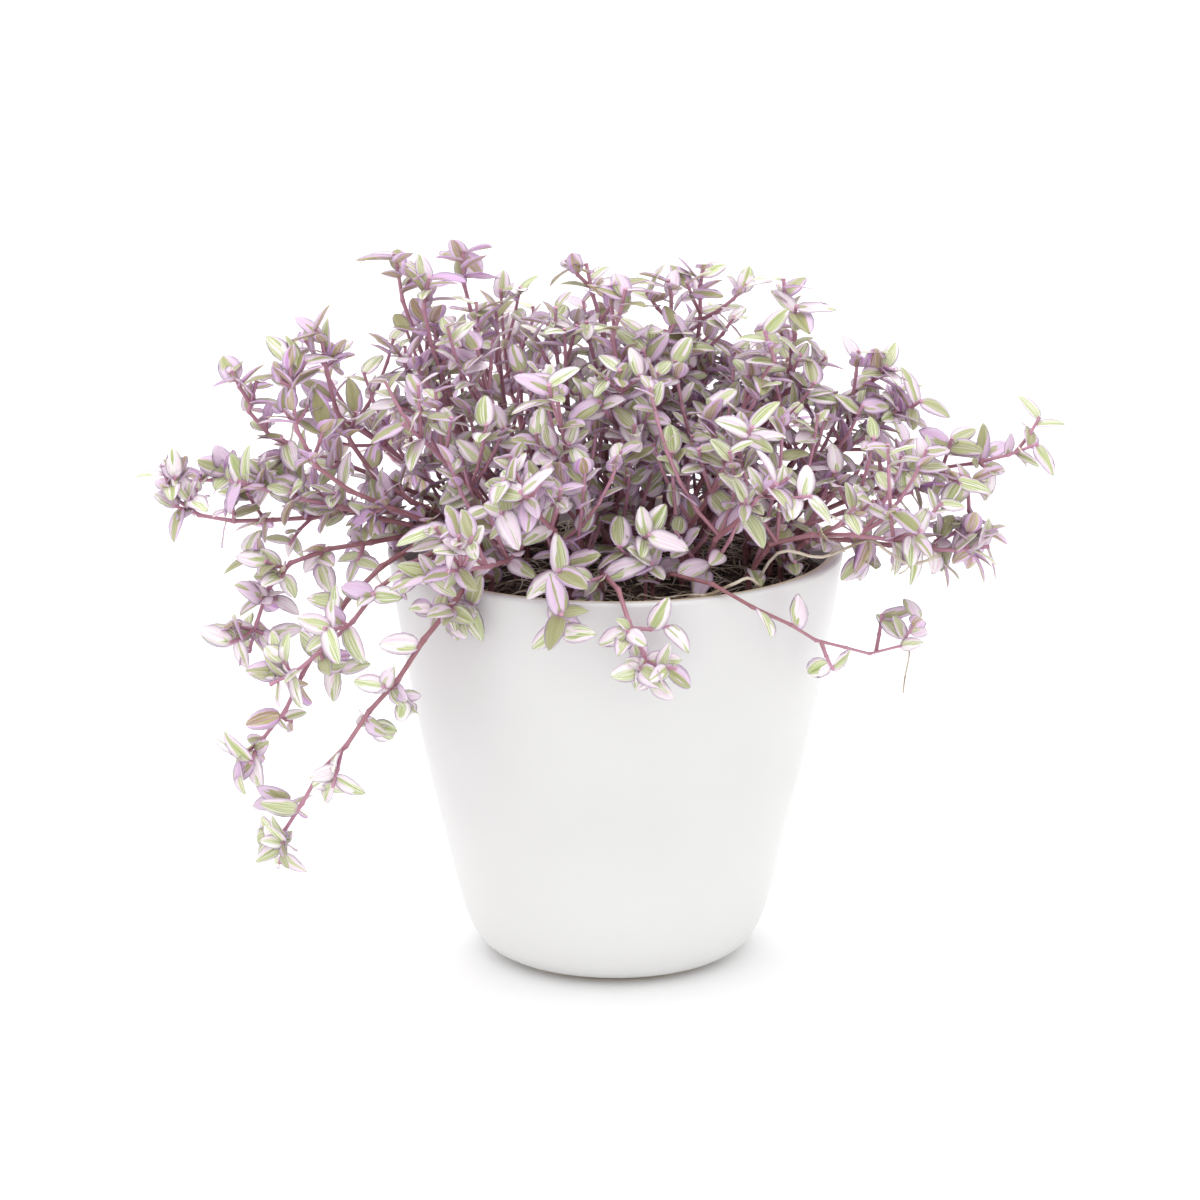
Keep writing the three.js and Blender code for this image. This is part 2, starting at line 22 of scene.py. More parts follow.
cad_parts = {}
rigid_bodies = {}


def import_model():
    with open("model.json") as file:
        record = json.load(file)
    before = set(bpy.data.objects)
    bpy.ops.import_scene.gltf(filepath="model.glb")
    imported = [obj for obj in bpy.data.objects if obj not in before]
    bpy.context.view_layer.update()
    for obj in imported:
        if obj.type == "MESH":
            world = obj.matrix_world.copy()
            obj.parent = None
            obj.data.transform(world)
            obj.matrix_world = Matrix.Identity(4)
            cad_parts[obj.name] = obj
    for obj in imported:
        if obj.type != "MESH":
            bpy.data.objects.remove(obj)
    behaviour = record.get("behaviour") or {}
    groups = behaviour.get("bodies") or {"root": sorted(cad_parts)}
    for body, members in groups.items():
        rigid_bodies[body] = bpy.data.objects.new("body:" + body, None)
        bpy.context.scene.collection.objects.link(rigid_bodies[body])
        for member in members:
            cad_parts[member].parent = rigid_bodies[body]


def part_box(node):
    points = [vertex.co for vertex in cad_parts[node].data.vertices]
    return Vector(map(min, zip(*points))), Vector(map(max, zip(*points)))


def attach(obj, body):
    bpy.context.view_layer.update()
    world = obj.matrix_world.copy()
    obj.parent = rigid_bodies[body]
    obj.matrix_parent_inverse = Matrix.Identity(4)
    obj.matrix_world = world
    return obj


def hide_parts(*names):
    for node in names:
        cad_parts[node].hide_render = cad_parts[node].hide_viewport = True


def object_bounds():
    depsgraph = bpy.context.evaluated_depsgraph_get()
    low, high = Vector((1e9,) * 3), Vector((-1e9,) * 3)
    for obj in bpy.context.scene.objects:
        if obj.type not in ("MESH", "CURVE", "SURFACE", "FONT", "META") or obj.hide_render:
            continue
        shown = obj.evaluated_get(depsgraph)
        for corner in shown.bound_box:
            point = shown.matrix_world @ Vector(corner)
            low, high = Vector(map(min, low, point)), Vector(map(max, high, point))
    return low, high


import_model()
CAD_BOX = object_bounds()
MM = 0.001  # the growth rule works in millimetres, and Blender in metres
print("CAD box", [[round(n, 4) for n in corner] for corner in CAD_BOX])

# %% [markdown]
# ## Camera
#
# The photograph was taken with a long lens from a little above the rim. The lens and the distance come
# from how wide the rim's ellipse looks: about 17 degrees above the horizon and 1.3 metres away. The
# camera is aimed at a point above the pot, which needs no lens shift.

# %% Camera
CAMERA_DISTANCE = 1.3
CAMERA_ELEVATION = math.radians(17)
CAMERA_LENS = 125.2
AIM = Vector((-0.0047, 0, 0.1115))
POT_MIDDLE = Vector((0, 0, 0.065))

camera = bpy.data.objects.new("camera", bpy.data.cameras.new("camera"))
bpy.context.scene.collection.objects.link(camera)
bpy.context.scene.camera = camera
camera.data.lens = CAMERA_LENS
backwards = Vector((0, -math.cos(CAMERA_ELEVATION), math.sin(CAMERA_ELEVATION)))
camera.location = POT_MIDDLE + backwards * CAMERA_DISTANCE
camera.rotation_euler = (AIM - camera.location).to_track_quat("-Z", "Y").to_euler()
print("camera at", [round(n, 3) for n in camera.location])

# %% [markdown]
# ## Helpers for trees and colours
#
# Shader trees and geometry trees are both made of nodes with settings and inputs, so one small function
# adds a node to either kind. Colours are picked as sRGB hex codes, because a photograph is in sRGB, and
# one function turns them into the linear numbers that Blender mixes. Some inputs have no name of their
# own: a colour mix has its share at 0 and its colours at 6 and 7, and a map range has its value at 0, the
# range that it comes from at 1 and 2, and the range that it goes to at 3 and 4.

# %% Helpers for trees and colours
SOFT = {"interpolation_type": "SMOOTHSTEP"}
COLOUR = {"data_type": "RGBA"}


def linear(code):
    """An sRGB hex code such as "#efeae0" as linear red, green, blue and alpha."""
    channels = [int(code[i : i + 2], 16) / 255 for i in (1, 3, 5)]
    return [c / 12.92 if c <= 0.04045 else ((c + 0.055) / 1.055) ** 2.4 for c in channels] + [1]


def connect(node, inputs):
    """Gives each input a number or a hex colour, or links it to a socket or to a node's first output."""
    for key, value in inputs.items():
        if isinstance(value, bpy.types.Node):
            value = next(socket for socket in value.outputs if socket.enabled)
        if isinstance(value, bpy.types.NodeSocket):
            node.id_data.links.new(value, node.inputs[key])
        else:
            node.inputs[key].default_value = linear(value) if str(value)[0] == "#" else value


def add_node(tree, kind, inputs=None, **settings):
    """Adds a node, whose kind can be given without the first part that is the tree's own."""
    node = tree.nodes.new(kind if "Node" in kind else tree.bl_idname.removesuffix("Tree") + kind)
    for setting, value in settings.items():
        setattr(node, setting, value)
    connect(node, inputs or {})
    return node


def set_ramp(node, colours):
    """Gives a colour ramp its hex colours, by their places from 0 to 1."""
    elements = node.color_ramp.elements
    elements.remove(elements[1])
    for k, (place, code) in enumerate(colours.items()):
        element = elements.new(place) if k else elements[0]
        element.position, element.color = place, linear(code)


def new_material(name):
    """A material, a call that adds nodes to its tree, and its empty Principled shader."""
    material = bpy.data.materials.new(name)
    material.use_nodes = True
    tree = material.node_tree
    return material, partial(add_node, tree), tree.nodes["Principled BSDF"]

# %% [markdown]
# ## Growth rule: small tools
#
# The solids were grown by a rule, and repeating the rule gives finer pieces in exactly the same places.
# A real plant looks random but grows in order: each stem steps from node to node. The tools here are a
# repeatable chance, a route with soft corners, and points along it.

# %% Growth rule: small tools
UP = np.array([0.0, 0.0, 1.0])
FULL_TURN = 2 * math.pi
GOLDEN_TURN = math.pi * (3 - math.sqrt(5))


def chance(thing, draw):
    """A number from 0 to 1 that looks random and is the same on every run."""
    wave = math.sin(thing * 12.9898 + draw * 78.233 + 1.7) * 43758.5453
    return wave - math.floor(wave)


def mix(ends, share):
    return ends[0] + (ends[1] - ends[0]) * share


def unit(direction):
    return direction / np.linalg.norm(direction)


def square_to(direction, along):
    """A direction with its part along another taken off, as a unit vector."""
    return unit(direction - along * direction.dot(along))


def direction_at(nodes, k):
    return unit(nodes[min(k + 1, len(nodes) - 1)] - nodes[max(k - 1, 0)])


def softened(points):
    """A route with its corners cut twice, so that it bends softly and keeps its ends."""
    route = points
    for _ in range(2):
        legs = list(zip(route, route[1:]))
        cut = [a + (b - a) * share for a, b in legs for share in (0.25, 0.75)]
        route = [route[0], *cut, route[-1]]
    return route


def points_along(route, distances):
    found, walked, leg = [], 0.0, 1
    for distance in distances:
        length = np.linalg.norm(route[leg] - route[leg - 1])
        while leg < len(route) - 1 and walked + length < distance:
            walked += length
            leg += 1
            length = np.linalg.norm(route[leg] - route[leg - 1])
        found.append(route[leg - 1] + (route[leg] - route[leg - 1]) * ((distance - walked) / length))
    return found

# %% [markdown]
# ## Growth rule: a stem
#
# A stem of this plant is a chain of internodes. They are long near the soil and short at the growing tip,
# and the stem steps a little left and right at each node, which gives it its zigzag.

# %% Growth rule: a stem
INTERNODE = (16, 10)
KNEE = 0.7
STEM_FOOT = 112.3
STRAIGHT_START = 24
# Where side shoots leave, as shares of the way up their stem, and how long they are.
SHORT_SHOOTS = SimpleNamespace(places=(0.84, 0.6), length=(8, 15))
FILLING_SHOOTS = SimpleNamespace(places=(0.74,), length=(13, 21))


def stem_nodes(points, sideways):
    route = softened(points)
    length = sum(np.linalg.norm(b - a) for a, b in zip(route, route[1:]))
    count = math.floor(length / (sum(INTERNODE) / 2) + 0.5)
    steps = [mix(INTERNODE, k / (count - 1)) for k in range(count)]
    distances = np.concatenate([[0.0], np.cumsum(steps) * (length / sum(steps))])
    nodes = points_along(route, distances)
    stepped = []
    for k, node in enumerate(nodes):
        knee = KNEE * (1 if k % 2 else -1) if 1 < k < count else 0
        stepped.append(node + square_to(sideways, direction_at(nodes, k)) * knee)
    return stepped


def spray_from(name, number, foot, via, habit):
    """One leafy stem, from where it leaves the soil and the points that it passes through."""
    outward = unit(np.array([*foot, 0.0]))
    sideways = np.array([-outward[1], outward[0], 0.0])
    points = [(*foot, STEM_FOOT), (*foot, STEM_FOOT + STRAIGHT_START), *via]
    spray = SimpleNamespace(name=name, node=f"spray_{name}", number=number, habit=habit, shoots=[])
    spray.foot, spray.outward, spray.sideways = foot, outward, sideways
    spray.nodes = stem_nodes([np.array(point, float) for point in points], sideways)
    return spray

# %% [markdown]
# ## Growth rule: the stems that the photograph shows
#
# The long trailing stems and the tallest ones stand out one by one in the photograph, so each is given
# with the points that it passes through. These are the same points as in the solids.

# %% Growth rule: the stems that the photograph shows
# For each stem, its foot on the soil and the points that it passes through. Its node is named after it,
# with "spray_" in front.
SHOWN_STEMS = {
    "far_left": [(-45, -2), (-53, -4, 139), (-70, -7, 142), (-90, -8, 140), (-111, -8, 138),
        (-130, -8, 140), (-137, -6, 148), (-138, -5, 155)],
    "hanging_long": [(-37, -40), (-40, -50, 134), (-44, -59, 133), (-50, -66, 124), (-59, -68, 113),
        (-66, -68, 103), (-78, -66, 87), (-89, -63, 73), (-98, -60, 58), (-100, -60, 46)],
    "hanging_left": [(-45, -29), (-57, -42, 137), (-65, -50, 133), (-74, -55, 125), (-80, -57, 117),
        (-90, -58, 108), (-102, -58, 101)],
    "hanging_outer": [(-51, -19), (-62, -31, 136), (-71, -39, 132), (-81, -46, 122), (-90, -50, 108),
        (-95, -50, 97), (-103, -50, 83), (-113, -50, 75)],
    "dropping_left": [(-53, -9), (-66, -16, 135), (-82, -24, 135), (-101, -26, 130), (-107, -26, 117),
        (-111, -26, 102)],
    "front_drop": [(-4, -50), (-3, -60, 135), (0, -70, 134), (5, -79, 126), (7, -81, 118), (11, -81, 108)],
    "hanging_right": [(11, -43), (17, -53, 133), (29, -63, 133), (39, -67, 129), (49, -66, 122),
        (62, -54, 113), (75, -43, 106), (83, -38, 106), (88, -36, 110), (91, -36, 116)],
    "far_right": [(50, 7), (61, 9, 141), (74, 10, 147), (88, 10, 149), (106, 5, 153), (119, 1, 157),
        (127, 0, 158), (129, 0, 161)],
    "bowing_right": [(53, -4), (66, -7, 143), (84, -10, 151), (97, -10, 157), (105, -10, 156),
        (109, -10, 149), (107, -10, 141), (110, -12, 133)],
    "low_right": [(50, -20), (62, -23, 136), (76, -21, 136), (95, -21, 132), (113, -21, 134)],
    "top_left_outer": [(-30, 13), (-42, 16, 150), (-56, 18, 176), (-64, 20, 195), (-67, 20, 212)],
    "top_left": [(-27, 1), (-40, 3, 152), (-54, 5, 182), (-59, 5, 202), (-57, 5, 212)],
    "top_left_inner": [(-21, 19), (-30, 23, 152), (-41, 28, 180), (-46, 30, 198), (-47, 30, 215)],
    "top_middle": [(-1, -9), (1, -12, 150), (2, -15, 176), (-1, -15, 195), (2, -15, 207)],
    "top_middle_back": [(-3, 9), (-2, 12, 150), (-3, 14, 178), (-5, 15, 200), (-9, 15, 214)],
    "top_right_middle": [(8, 3), (12, 7, 150), (16, 10, 176), (17, 10, 205)],
    "top_right": [(15, 13), (20, 16, 150), (25, 19, 180), (26, 20, 206)],
    "spike_right": [(25, -3), (36, 0, 150), (50, 4, 176), (56, 5, 190), (52, 5, 203)],
    "left_tuft": [(-39, -11), (-54, -11, 142), (-70, -11, 149), (-80, -13, 163), (-86, -15, 180),
        (-88, -15, 196)],
    "left_tuft_front": [(-44, -20), (-60, -21, 143), (-76, -25, 150), (-89, -28, 158), (-96, -29, 173),
        (-97, -28, 193)],
    "left_tuft_back": [(-49, 7), (-64, 6, 146), (-84, 3, 154), (-104, 1, 161), (-113, 0, 169),
        (-109, 0, 181)],
    "right_shoulder": [(41, 5), (52, 4, 150), (66, 2, 172), (79, 0, 182), (85, 0, 184)],
    "right_shoulder_back": [(42, 17), (56, 13, 148), (76, 9, 162), (92, 6, 173)],
    "left_low": [(-47, -14), (-62, -17, 139), (-84, -19, 146), (-102, -20, 150), (-114, -20, 154)],
    "left_low_back": [(-53, 2), (-68, 2, 139), (-92, 4, 144), (-112, 6, 148), (-126, 6, 152)],
    "right_low": [(47, -12), (60, -15, 139), (76, -15, 146), (90, -17, 150)],
    "right_low_front": [(40, -31), (50, -36, 139), (63, -38, 143), (78, -38, 141), (90, -38, 138)],
    "front_star": [(9, -49), (9, -51, 140), (8, -52, 144)],
    "front_spill": [(-13, -46), (-13, -54, 138), (-15, -66, 138), (-17, -76, 130), (-15, -79, 122)],
    "rim_spill_left": [(-37, -30), (-43, -41, 143), (-49, -51, 147), (-52, -57, 139), (-51, -59, 127),
        (-47, -59, 119)],
}
sprays = [
    spray_from(name, number, foot, via, SHORT_SHOOTS)
    for number, (name, (foot, *via)) in enumerate(SHOWN_STEMS.items())
]
print(len(sprays), "stems from the photograph")

# %% [markdown]
# ## Growth rule: the rest of the mound
#
# The other stems can't be told apart in the photograph. Their tips are spread over the mound on a spiral
# with the golden angle between neighbours, which is also how many plants pack their parts evenly. A stem
# is kept only where it stays clear of those before it, and gets a few tries.

# %% Growth rule: the rest of the mound
SOIL_MIDDLE_HEIGHT = 123.5
SOIL_EDGE_HEIGHT = 119.5
RIM_RADIUS = 70
MOUND_RADIUS = (106, 94)
MOUND_HEIGHT = 79
BASE_REACH = 55
RULED_STEMS = 23
STEM_GAP = 3.2
SOIL_CLEARANCE = 4.6
ROUTE_TRIES = 16
ROUTE_THINGS = 200  # the numbers of the ruled routes start here
TURN_RANGE = 0.5
MOUND_POWER = 2.6  # how square the mound's shoulder is
# Where a route bends: the shares of the way out and up, and the least height.
ROUTE_BENDS = ((0.42, 0.55, 138), (0.8, 0.86, 139))


def soil_top(radius):
    return SOIL_MIDDLE_HEIGHT - (SOIL_MIDDLE_HEIGHT - SOIL_EDGE_HEIGHT) * (radius / RIM_RADIUS) ** 2


def ruled_route(index, attempt):
    """The foot and the points of a stem, whose tip lies on the spiral and under the mound's top."""
    share = (index + 0.5) / RULED_STEMS
    thing = ROUTE_THINGS + index
    turn = index * GOLDEN_TURN + TURN_RANGE * (chance(thing, attempt) - 0.5)
    reach = share**0.5 * mix((0.94, 1.06), chance(thing, 30 + attempt))
    foot_radius = BASE_REACH * share**0.6 * mix((0.86, 1), chance(thing, 60 + attempt))
    tip_radius = math.hypot(MOUND_RADIUS[0] * math.cos(turn), MOUND_RADIUS[1] * math.sin(turn)) * reach
    level = math.sqrt(max(1 - reach**MOUND_POWER, 0.02))
    growth = mix((0.84, 1), chance(thing, 90 + attempt))
    low, high = SOIL_MIDDLE_HEIGHT + 4, SOIL_MIDDLE_HEIGHT + MOUND_HEIGHT * level * growth
    way = [
        (mix((foot_radius, tip_radius), out), max(mix((low, high), up), least))
        for out, up, least in ROUTE_BENDS
    ]
    way.append((tip_radius, high))
    foot = (foot_radius * math.cos(turn), foot_radius * math.sin(turn))
    return foot, [(radius * math.cos(turn), radius * math.sin(turn), height) for radius, height in way]


def beads(nodes):
    """Points every few millimetres along a stem, which stand for it when distances are compared."""
    shares = (0, 0.25, 0.5, 0.75)
    return np.array([a + (b - a) * s for a, b in zip(nodes, nodes[1:]) for s in shares] + [nodes[-1]])


def stays_clear(nodes, others, gap=STEM_GAP):
    apart = beads(nodes)[:, None, :] - others[None, :, :]
    return float(np.sqrt((apart**2).sum(axis=2)).min()) >= gap


taken = np.concatenate([beads(spray.nodes) for spray in sprays])
for index in range(RULED_STEMS):
    for attempt in range(ROUTE_TRIES):
        foot, via = ruled_route(index, attempt)
        roomy = all(math.dist(spray.foot, foot) > SOIL_CLEARANCE for spray in sprays)
        spray = spray_from(f"{index + 1:02d}", 100 + index, foot, via, FILLING_SHOOTS)
        if roomy and stays_clear(spray.nodes, taken):
            sprays.append(spray)
            taken = np.concatenate([taken, beads(spray.nodes)])
            break
print(len(sprays), "stems in all")

# %% [markdown]
# ## Growth rule: side shoots
#
# Side shoots leave a stem just above a node and bend up as they grow. One or two on each stem are in the
# solids, and come first. The real mound has many more: thin shoots rise from nearly every node to the top
# of the mound, and their tips make its soft outline. The trailing stems are airy, and carry small rosettes
# on short stalks. Both kinds are added here where there is room.

# %% Growth rule: side shoots
ABOVE_NODE = 2.2
SHOOT_STEPS = 2
LOWEST_SHOOT = 60
SHOOT_LEAN = 0.75  # how much of a shoot's start is along its stem
SHOOT_RISE = 0.22  # how much it bends up with each step
POT_HEIGHT = 129


def shoot_nodes(spray, k, length, attempt, thing, lean=SHOOT_LEAN):
    ahead = unit(spray.nodes[k + 1] - spray.nodes[k])
    side = square_to(spray.sideways, ahead)
    top = np.cross(ahead, side)
    turn = FULL_TURN * chance(thing, 5 + attempt)
    heading = unit(ahead * lean + side * math.cos(turn) + top * math.sin(turn))
    step = mix(length, chance(thing, 81)) / SHOOT_STEPS
    nodes = [spray.nodes[k] + ahead * ABOVE_NODE]
    for _ in range(SHOOT_STEPS):
        heading = unit(heading + UP * SHOOT_RISE)
        nodes.append(nodes[-1] + heading * step)
    return nodes


def add_shoot(i, nodes, thing):
    sprays[i].shoots.append(SimpleNamespace(nodes=nodes, thing=thing))
    owned[i] = np.concatenate([owned[i], beads(nodes)])


owned = [beads(spray.nodes) for spray in sprays]
for i, spray in enumerate(sprays):
    for j, place in enumerate(spray.habit.places):
        others = np.concatenate([own for k, own in enumerate(owned) if k != i])
        thing = spray.number * 10 + j
        start = min(math.floor(place * (len(spray.nodes) - 1) + 0.5), len(spray.nodes) - 2)
        for attempt in range(ROUTE_TRIES):
            nodes = shoot_nodes(spray, start, spray.habit.length, attempt, thing)
            if all(node[2] > LOWEST_SHOOT for node in nodes) and stays_clear(nodes, others):
                add_shoot(i, nodes, thing)
                break
print(sum(len(spray.shoots) for spray in sprays), "side shoots as in the solids")

# %% More side shoots
THIN_GAP = 1.9  # thin real shoots nearly touch
THIN_TRIES = 7
THIN_STEP = (7.5, 11)
THIN_MOST = (2, 6)
THIN_THINGS = 5000  # the numbers of thin shoots start here
APART = 3.5  # how far a thin shoot's tip stays from the rest of its own stem
PER_NODE = 2
SPARSE_STEMS = (
    "top_left_outer", "top_left", "top_left_inner", "right_shoulder", "top_middle_back", "12", "22",
)
MOUND_SLOPE = 0.5  # how fast the mound's top falls off round each tip of the solids
BELOW_TOP = (1, 24)  # a thin shoot ends this far under the mound's top, so that the outline is loose
STALK_LENGTH = (4, 8)
STALK_LEAN = 0.4
THIN_LEAN = (0.4, 1.3)  # how far a thin shoot leans sideways
THIN_RISE = 0.35  # how much it bends up with each step
WALL_SLOPE = 0.16  # how fast the pot gets narrower towards its foot
RIM_WIDTH = 5.5  # the pot's wall at the rim, with a small gap
SHOOT_MARGIN = 1.2  # how far a thin shoot stays from the pot and the soil
# The trailing stems, with the chance of a rosette on a stalk, drawn twice at each node.
TRAILING = {
    "far_left": 0.8, "hanging_long": 0.35, "hanging_left": 0.4, "hanging_outer": 0.15, "dropping_left": 0.5,
    "front_drop": 0.3, "hanging_right": 0.0, "far_right": 0.1, "bowing_right": 0.2, "low_right": 0.9,
    "left_tuft": 0.3, "left_tuft_front": 0.5, "left_tuft_back": 0.6, "left_low": 1.0, "left_low_back": 0.8,
    "front_star": 0.9, "front_spill": 0.2, "rim_spill_left": 0.2,
}
# Boxes where the photograph shows the bare rim, a bare stem or a gap: low and high corner, in millimetres.
BARE_PLACES = (
    ((-42, -92, 112), (-16, -42, 134)),
    ((57, -75, 107), (79, -30, 126)),
    ((93, -60, 161), (118, 60, 185)),
)


def in_bare_place(point):
    return any((point > low).all() and (point < high).all() for low, high in BARE_PLACES)


def misses_pot(points, margin):
    """True if no point is in the pot's wall or under the soil."""
    radius = np.hypot(points[:, 0], points[:, 1])
    height = points[:, 2]
    outside = RIM_RADIUS + margin - np.clip(POT_HEIGHT - height, 0, None) * WALL_SLOPE
    in_pot = (height < POT_HEIGHT + margin) & (radius < outside)
    above_soil = (radius < RIM_RADIUS - RIM_WIDTH - margin) & (height > soil_top(radius) + margin)
    return not np.any(in_pot & ~above_soil)


tips = np.array([stem.nodes[-1] for spray in sprays for stem in (spray, *spray.shoots)])


def mound_top(place):
    """How high the mound is at a place, from the tips of the solids round it."""
    away = np.hypot(tips[:, 0] - place[0], tips[:, 1] - place[1])
    return float((tips[:, 2] - MOUND_SLOPE * away).max())


def thin_nodes(spray, k, attempt, thing):
    """A thin shoot that leans out of a node and rises until it meets the top of the mound."""
    ahead = unit(spray.nodes[k + 1] - spray.nodes[k])
    turn = FULL_TURN * chance(thing, 5 + attempt)
    lean = np.array([math.cos(turn), math.sin(turn), 0.0]) * mix(THIN_LEAN, chance(thing, 90 + attempt))
    heading = unit(ahead * 0.4 + lean + spray.outward * 0.3 + UP * 0.3)
    step = mix(THIN_STEP, chance(thing, 81))
    below = mix(BELOW_TOP, chance(thing, 84))
    nodes = [spray.nodes[k] + ahead * ABOVE_NODE]
    for _ in range(math.floor(mix(THIN_MOST, chance(thing, 83)))):
        heading = unit(heading + UP * THIN_RISE)
        after = nodes[-1] + heading * step
        if after[2] > mound_top(after) - below:
            break
        nodes.append(after)
    return nodes


def add_thin_shoot(i, k, thing, others, rosette):
    for attempt in range(THIN_TRIES):
        if rosette:
            nodes = shoot_nodes(sprays[i], k, STALK_LENGTH, attempt, thing, STALK_LEAN)
        else:
            nodes = thin_nodes(sprays[i], k, attempt, thing)
        if len(nodes) < 2 or in_bare_place(nodes[-1]):
            continue
        apart = np.sqrt(((nodes[-1] - owned[i]) ** 2).sum(axis=1)).min() > APART
        inside = nodes[-1][2] < mound_top(nodes[-1]) + 2
        fits = apart and inside and misses_pot(beads(nodes), SHOOT_MARGIN)
        if fits and stays_clear(nodes, others, THIN_GAP):
            add_shoot(i, nodes, thing)
            return


for i, spray in enumerate(sprays):
    others = np.concatenate([own for k, own in enumerate(owned) if k != i])
    rosettes = TRAILING.get(spray.name)
    for k in range(1, len(spray.nodes) - 1):
        for j in range(1 if spray.name in SPARSE_STEMS else PER_NODE):
            thing = THIN_THINGS + spray.number * 40 + 2 * k + j
            if rosettes is None or chance(thing, 1) < rosettes:
                add_thin_shoot(i, k, thing, others, rosettes is not None)
print(sum(len(spray.shoots) for spray in sprays), "side shoots in all")

# %% [markdown]
# ## Does the rule give the same stems as the solids?
#
# Each stem's nodes have to lie inside the box of its own CAD node. Printing the largest miss shows at
# once if a number was copied wrongly.

# %% Does the rule give the same stems as the solids?
def miss_of(spray):
    low, high = (np.array(corner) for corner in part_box(spray.node))
    nodes = np.array(spray.nodes[:-1]) * MM
    return float(max((low - nodes).max(), (nodes - high).max()))


print("largest miss of a stem from its solid:", round(max(map(miss_of, sprays)) / MM, 2), "mm")

# %% [markdown]
# ## Growing tips
#
# The tip is where a stem grows, and some of them in the photograph end a little further out than their
# solids. Each gets one more internode here. It comes after the comparison, so that the comparison still
# says whether the two rules agree. A few shoots that fill gaps of the photograph's outline are listed as
# well, from a node of a stem to the place of their tip.

# %% Growing tips
# The last internode of these stems, past the end of the solid, in millimetres.
GROWING_TIPS = {
    "spike_right": (-1, 1, 8), "top_right": (1, 0, 6), "top_right_middle": (-1, -1, 5),
    "top_middle": (1, -1, 5), "top_left_outer": (-1, 0, 4), "left_tuft": (-2, -1, 4),
    "front_star": (2, -6, 3), "04": (9, 0, 6), "06": (-3, 0, 9), "09": (-4, 0, 5), "17": (-2, 0, 9),
}
for spray in sprays:
    if spray.name in GROWING_TIPS:
        spray.nodes.append(spray.nodes[-1] + np.array(GROWING_TIPS[spray.name], float))
print(len(GROWING_TIPS), "growing tips")

# %% Shoots that the photograph shows
# The stem, a point near the node that the shoot leaves, and the shoot's tip, in millimetres.
SHOWN_SHOOTS = (
    ("top_right", (25, 19, 190), (40, 12, 208)),
    ("top_right", (25, 19, 178), (36, 2, 200)),
    ("spike_right", (50, 4, 176), (64, 0, 188)),
    ("spike_right", (45, 3, 165), (60, -14, 183)),
    ("far_left", (-112, -8, 138), (-116, -14, 146)),
    ("far_left", (-97, -8, 139), (-99, -16, 133)),
)
SHOWN_STEP = 9
SHOWN_THINGS = 9900  # their numbers start here


def bent_up(start, end):
    """A shoot that leaves sideways and bends up to its tip."""
    count = math.ceil(math.dist(start, end) / SHOWN_STEP)
    bend = mix((start, end), 0.6) - UP * 0.25 * (end[2] - start[2])
    shares = [k / count for k in range(count + 1)]
    return [start * (1 - s) ** 2 + bend * 2 * s * (1 - s) + end * s**2 for s in shares]


for i, (name, near, end) in enumerate(SHOWN_SHOOTS):
    spray = next(spray for spray in sprays if spray.name == name)
    start = min(spray.nodes, key=lambda node: math.dist(node, near))
    nodes = bent_up(start, np.array(end, float))
    spray.shoots.append(SimpleNamespace(nodes=nodes, thing=SHOWN_THINGS + i))
print(len(SHOWN_SHOOTS), "shoots set by hand")

# %% [markdown]
# ## Growth rule: leaves
#
# A leaf leaves its stem just above a node, on the other side from the one before. It leans out and turns
# its upper side to the light, which comes from the sky and a little from a window in front. At each tip
# the youngest leaves crowd into a small star. The solids hold a few of these leaves for each stem, and
# here nearly the same rule gives all of them. Old nodes have lost their leaves, and a few places stay
# bare, because the photograph shows the rim or a bare stem there.

# %% Growth rule: leaves
LEAF_LENGTH = (9.4, 13.4)
THIN_LEAF_SHARE = (0.68, 0.86)  # the leaves of thin shoots are smaller
LEAF_SHARE = (0.5, 0.6)  # a leaf's width as a share of its length
THIN_LEAF_WIDTH = 1.18
THIN_LEAF_LEAN = (0.4, 1.1)  # some of their leaves are held up steeply, and show their violet under side
TIP_START = 0.9  # how far below a tip its youngest leaf leaves the stem
TIP_SPACING = 2.4
TIP_SHRINK = 0.07  # how much shorter each leaf of a tip is than the one above it
TIP_LEAN, TIP_LEAN_STEP, TIP_LEAN_RANGE = 1.1, 0.12, 0.3
NODE_LEAN, NODE_LEAN_RANGE = 1.05, 0.35
NODE_TURN_RANGE = 0.9
UPRIGHT_TURN = 0.7  # the leaves of an upright stem also turn round it from node to node
LEAVES_PER_TURN = 2.6
STEM_TIP_LEAVES = 5
TUFT_TIP_LEAVES = {"left_tuft": 8, "left_tuft_front": 7}
TUFT_LEAN = 0.6  # the tufts hold their leaves up
LEAFLESS = {"hanging_right": 0.5, "dropping_left": 0.25}  # the share of nodes that have lost their leaf
SHOOT_TIP_LEAVES = 3
FEWER_TIP_LEAVES = {"hanging_right": 1}
FRONT = np.array([0.0, -1.0, 0.0])
FRONT_LIGHT = 0.22  # the leaves also turn a little to a window in front
FACING_FRONT = {"far_right": 1.3}  # its star of leaves is seen from above in the photograph
LEAF_MARGIN = 0.6  # how far a leaf stays from the pot and the soil
HANG_DEPTH = 25  # this far below the rim, leaves get their light from outside and not from above
# How dusky the leaves of some stems are: the left tuft and the tall stems show olive and violet leaves,
# held the other way, so that their violet under sides face the front.
DUSKY_SPRAYS = {
    "left_tuft": 0.85, "left_tuft_front": 0.75, "left_tuft_back": 0.6, "top_left": 0.6,
    "top_left_outer": 0.65, "top_left_inner": 0.5, "top_middle": 0.35, "bowing_right": 0.4,
    "right_shoulder": 0.4,
}


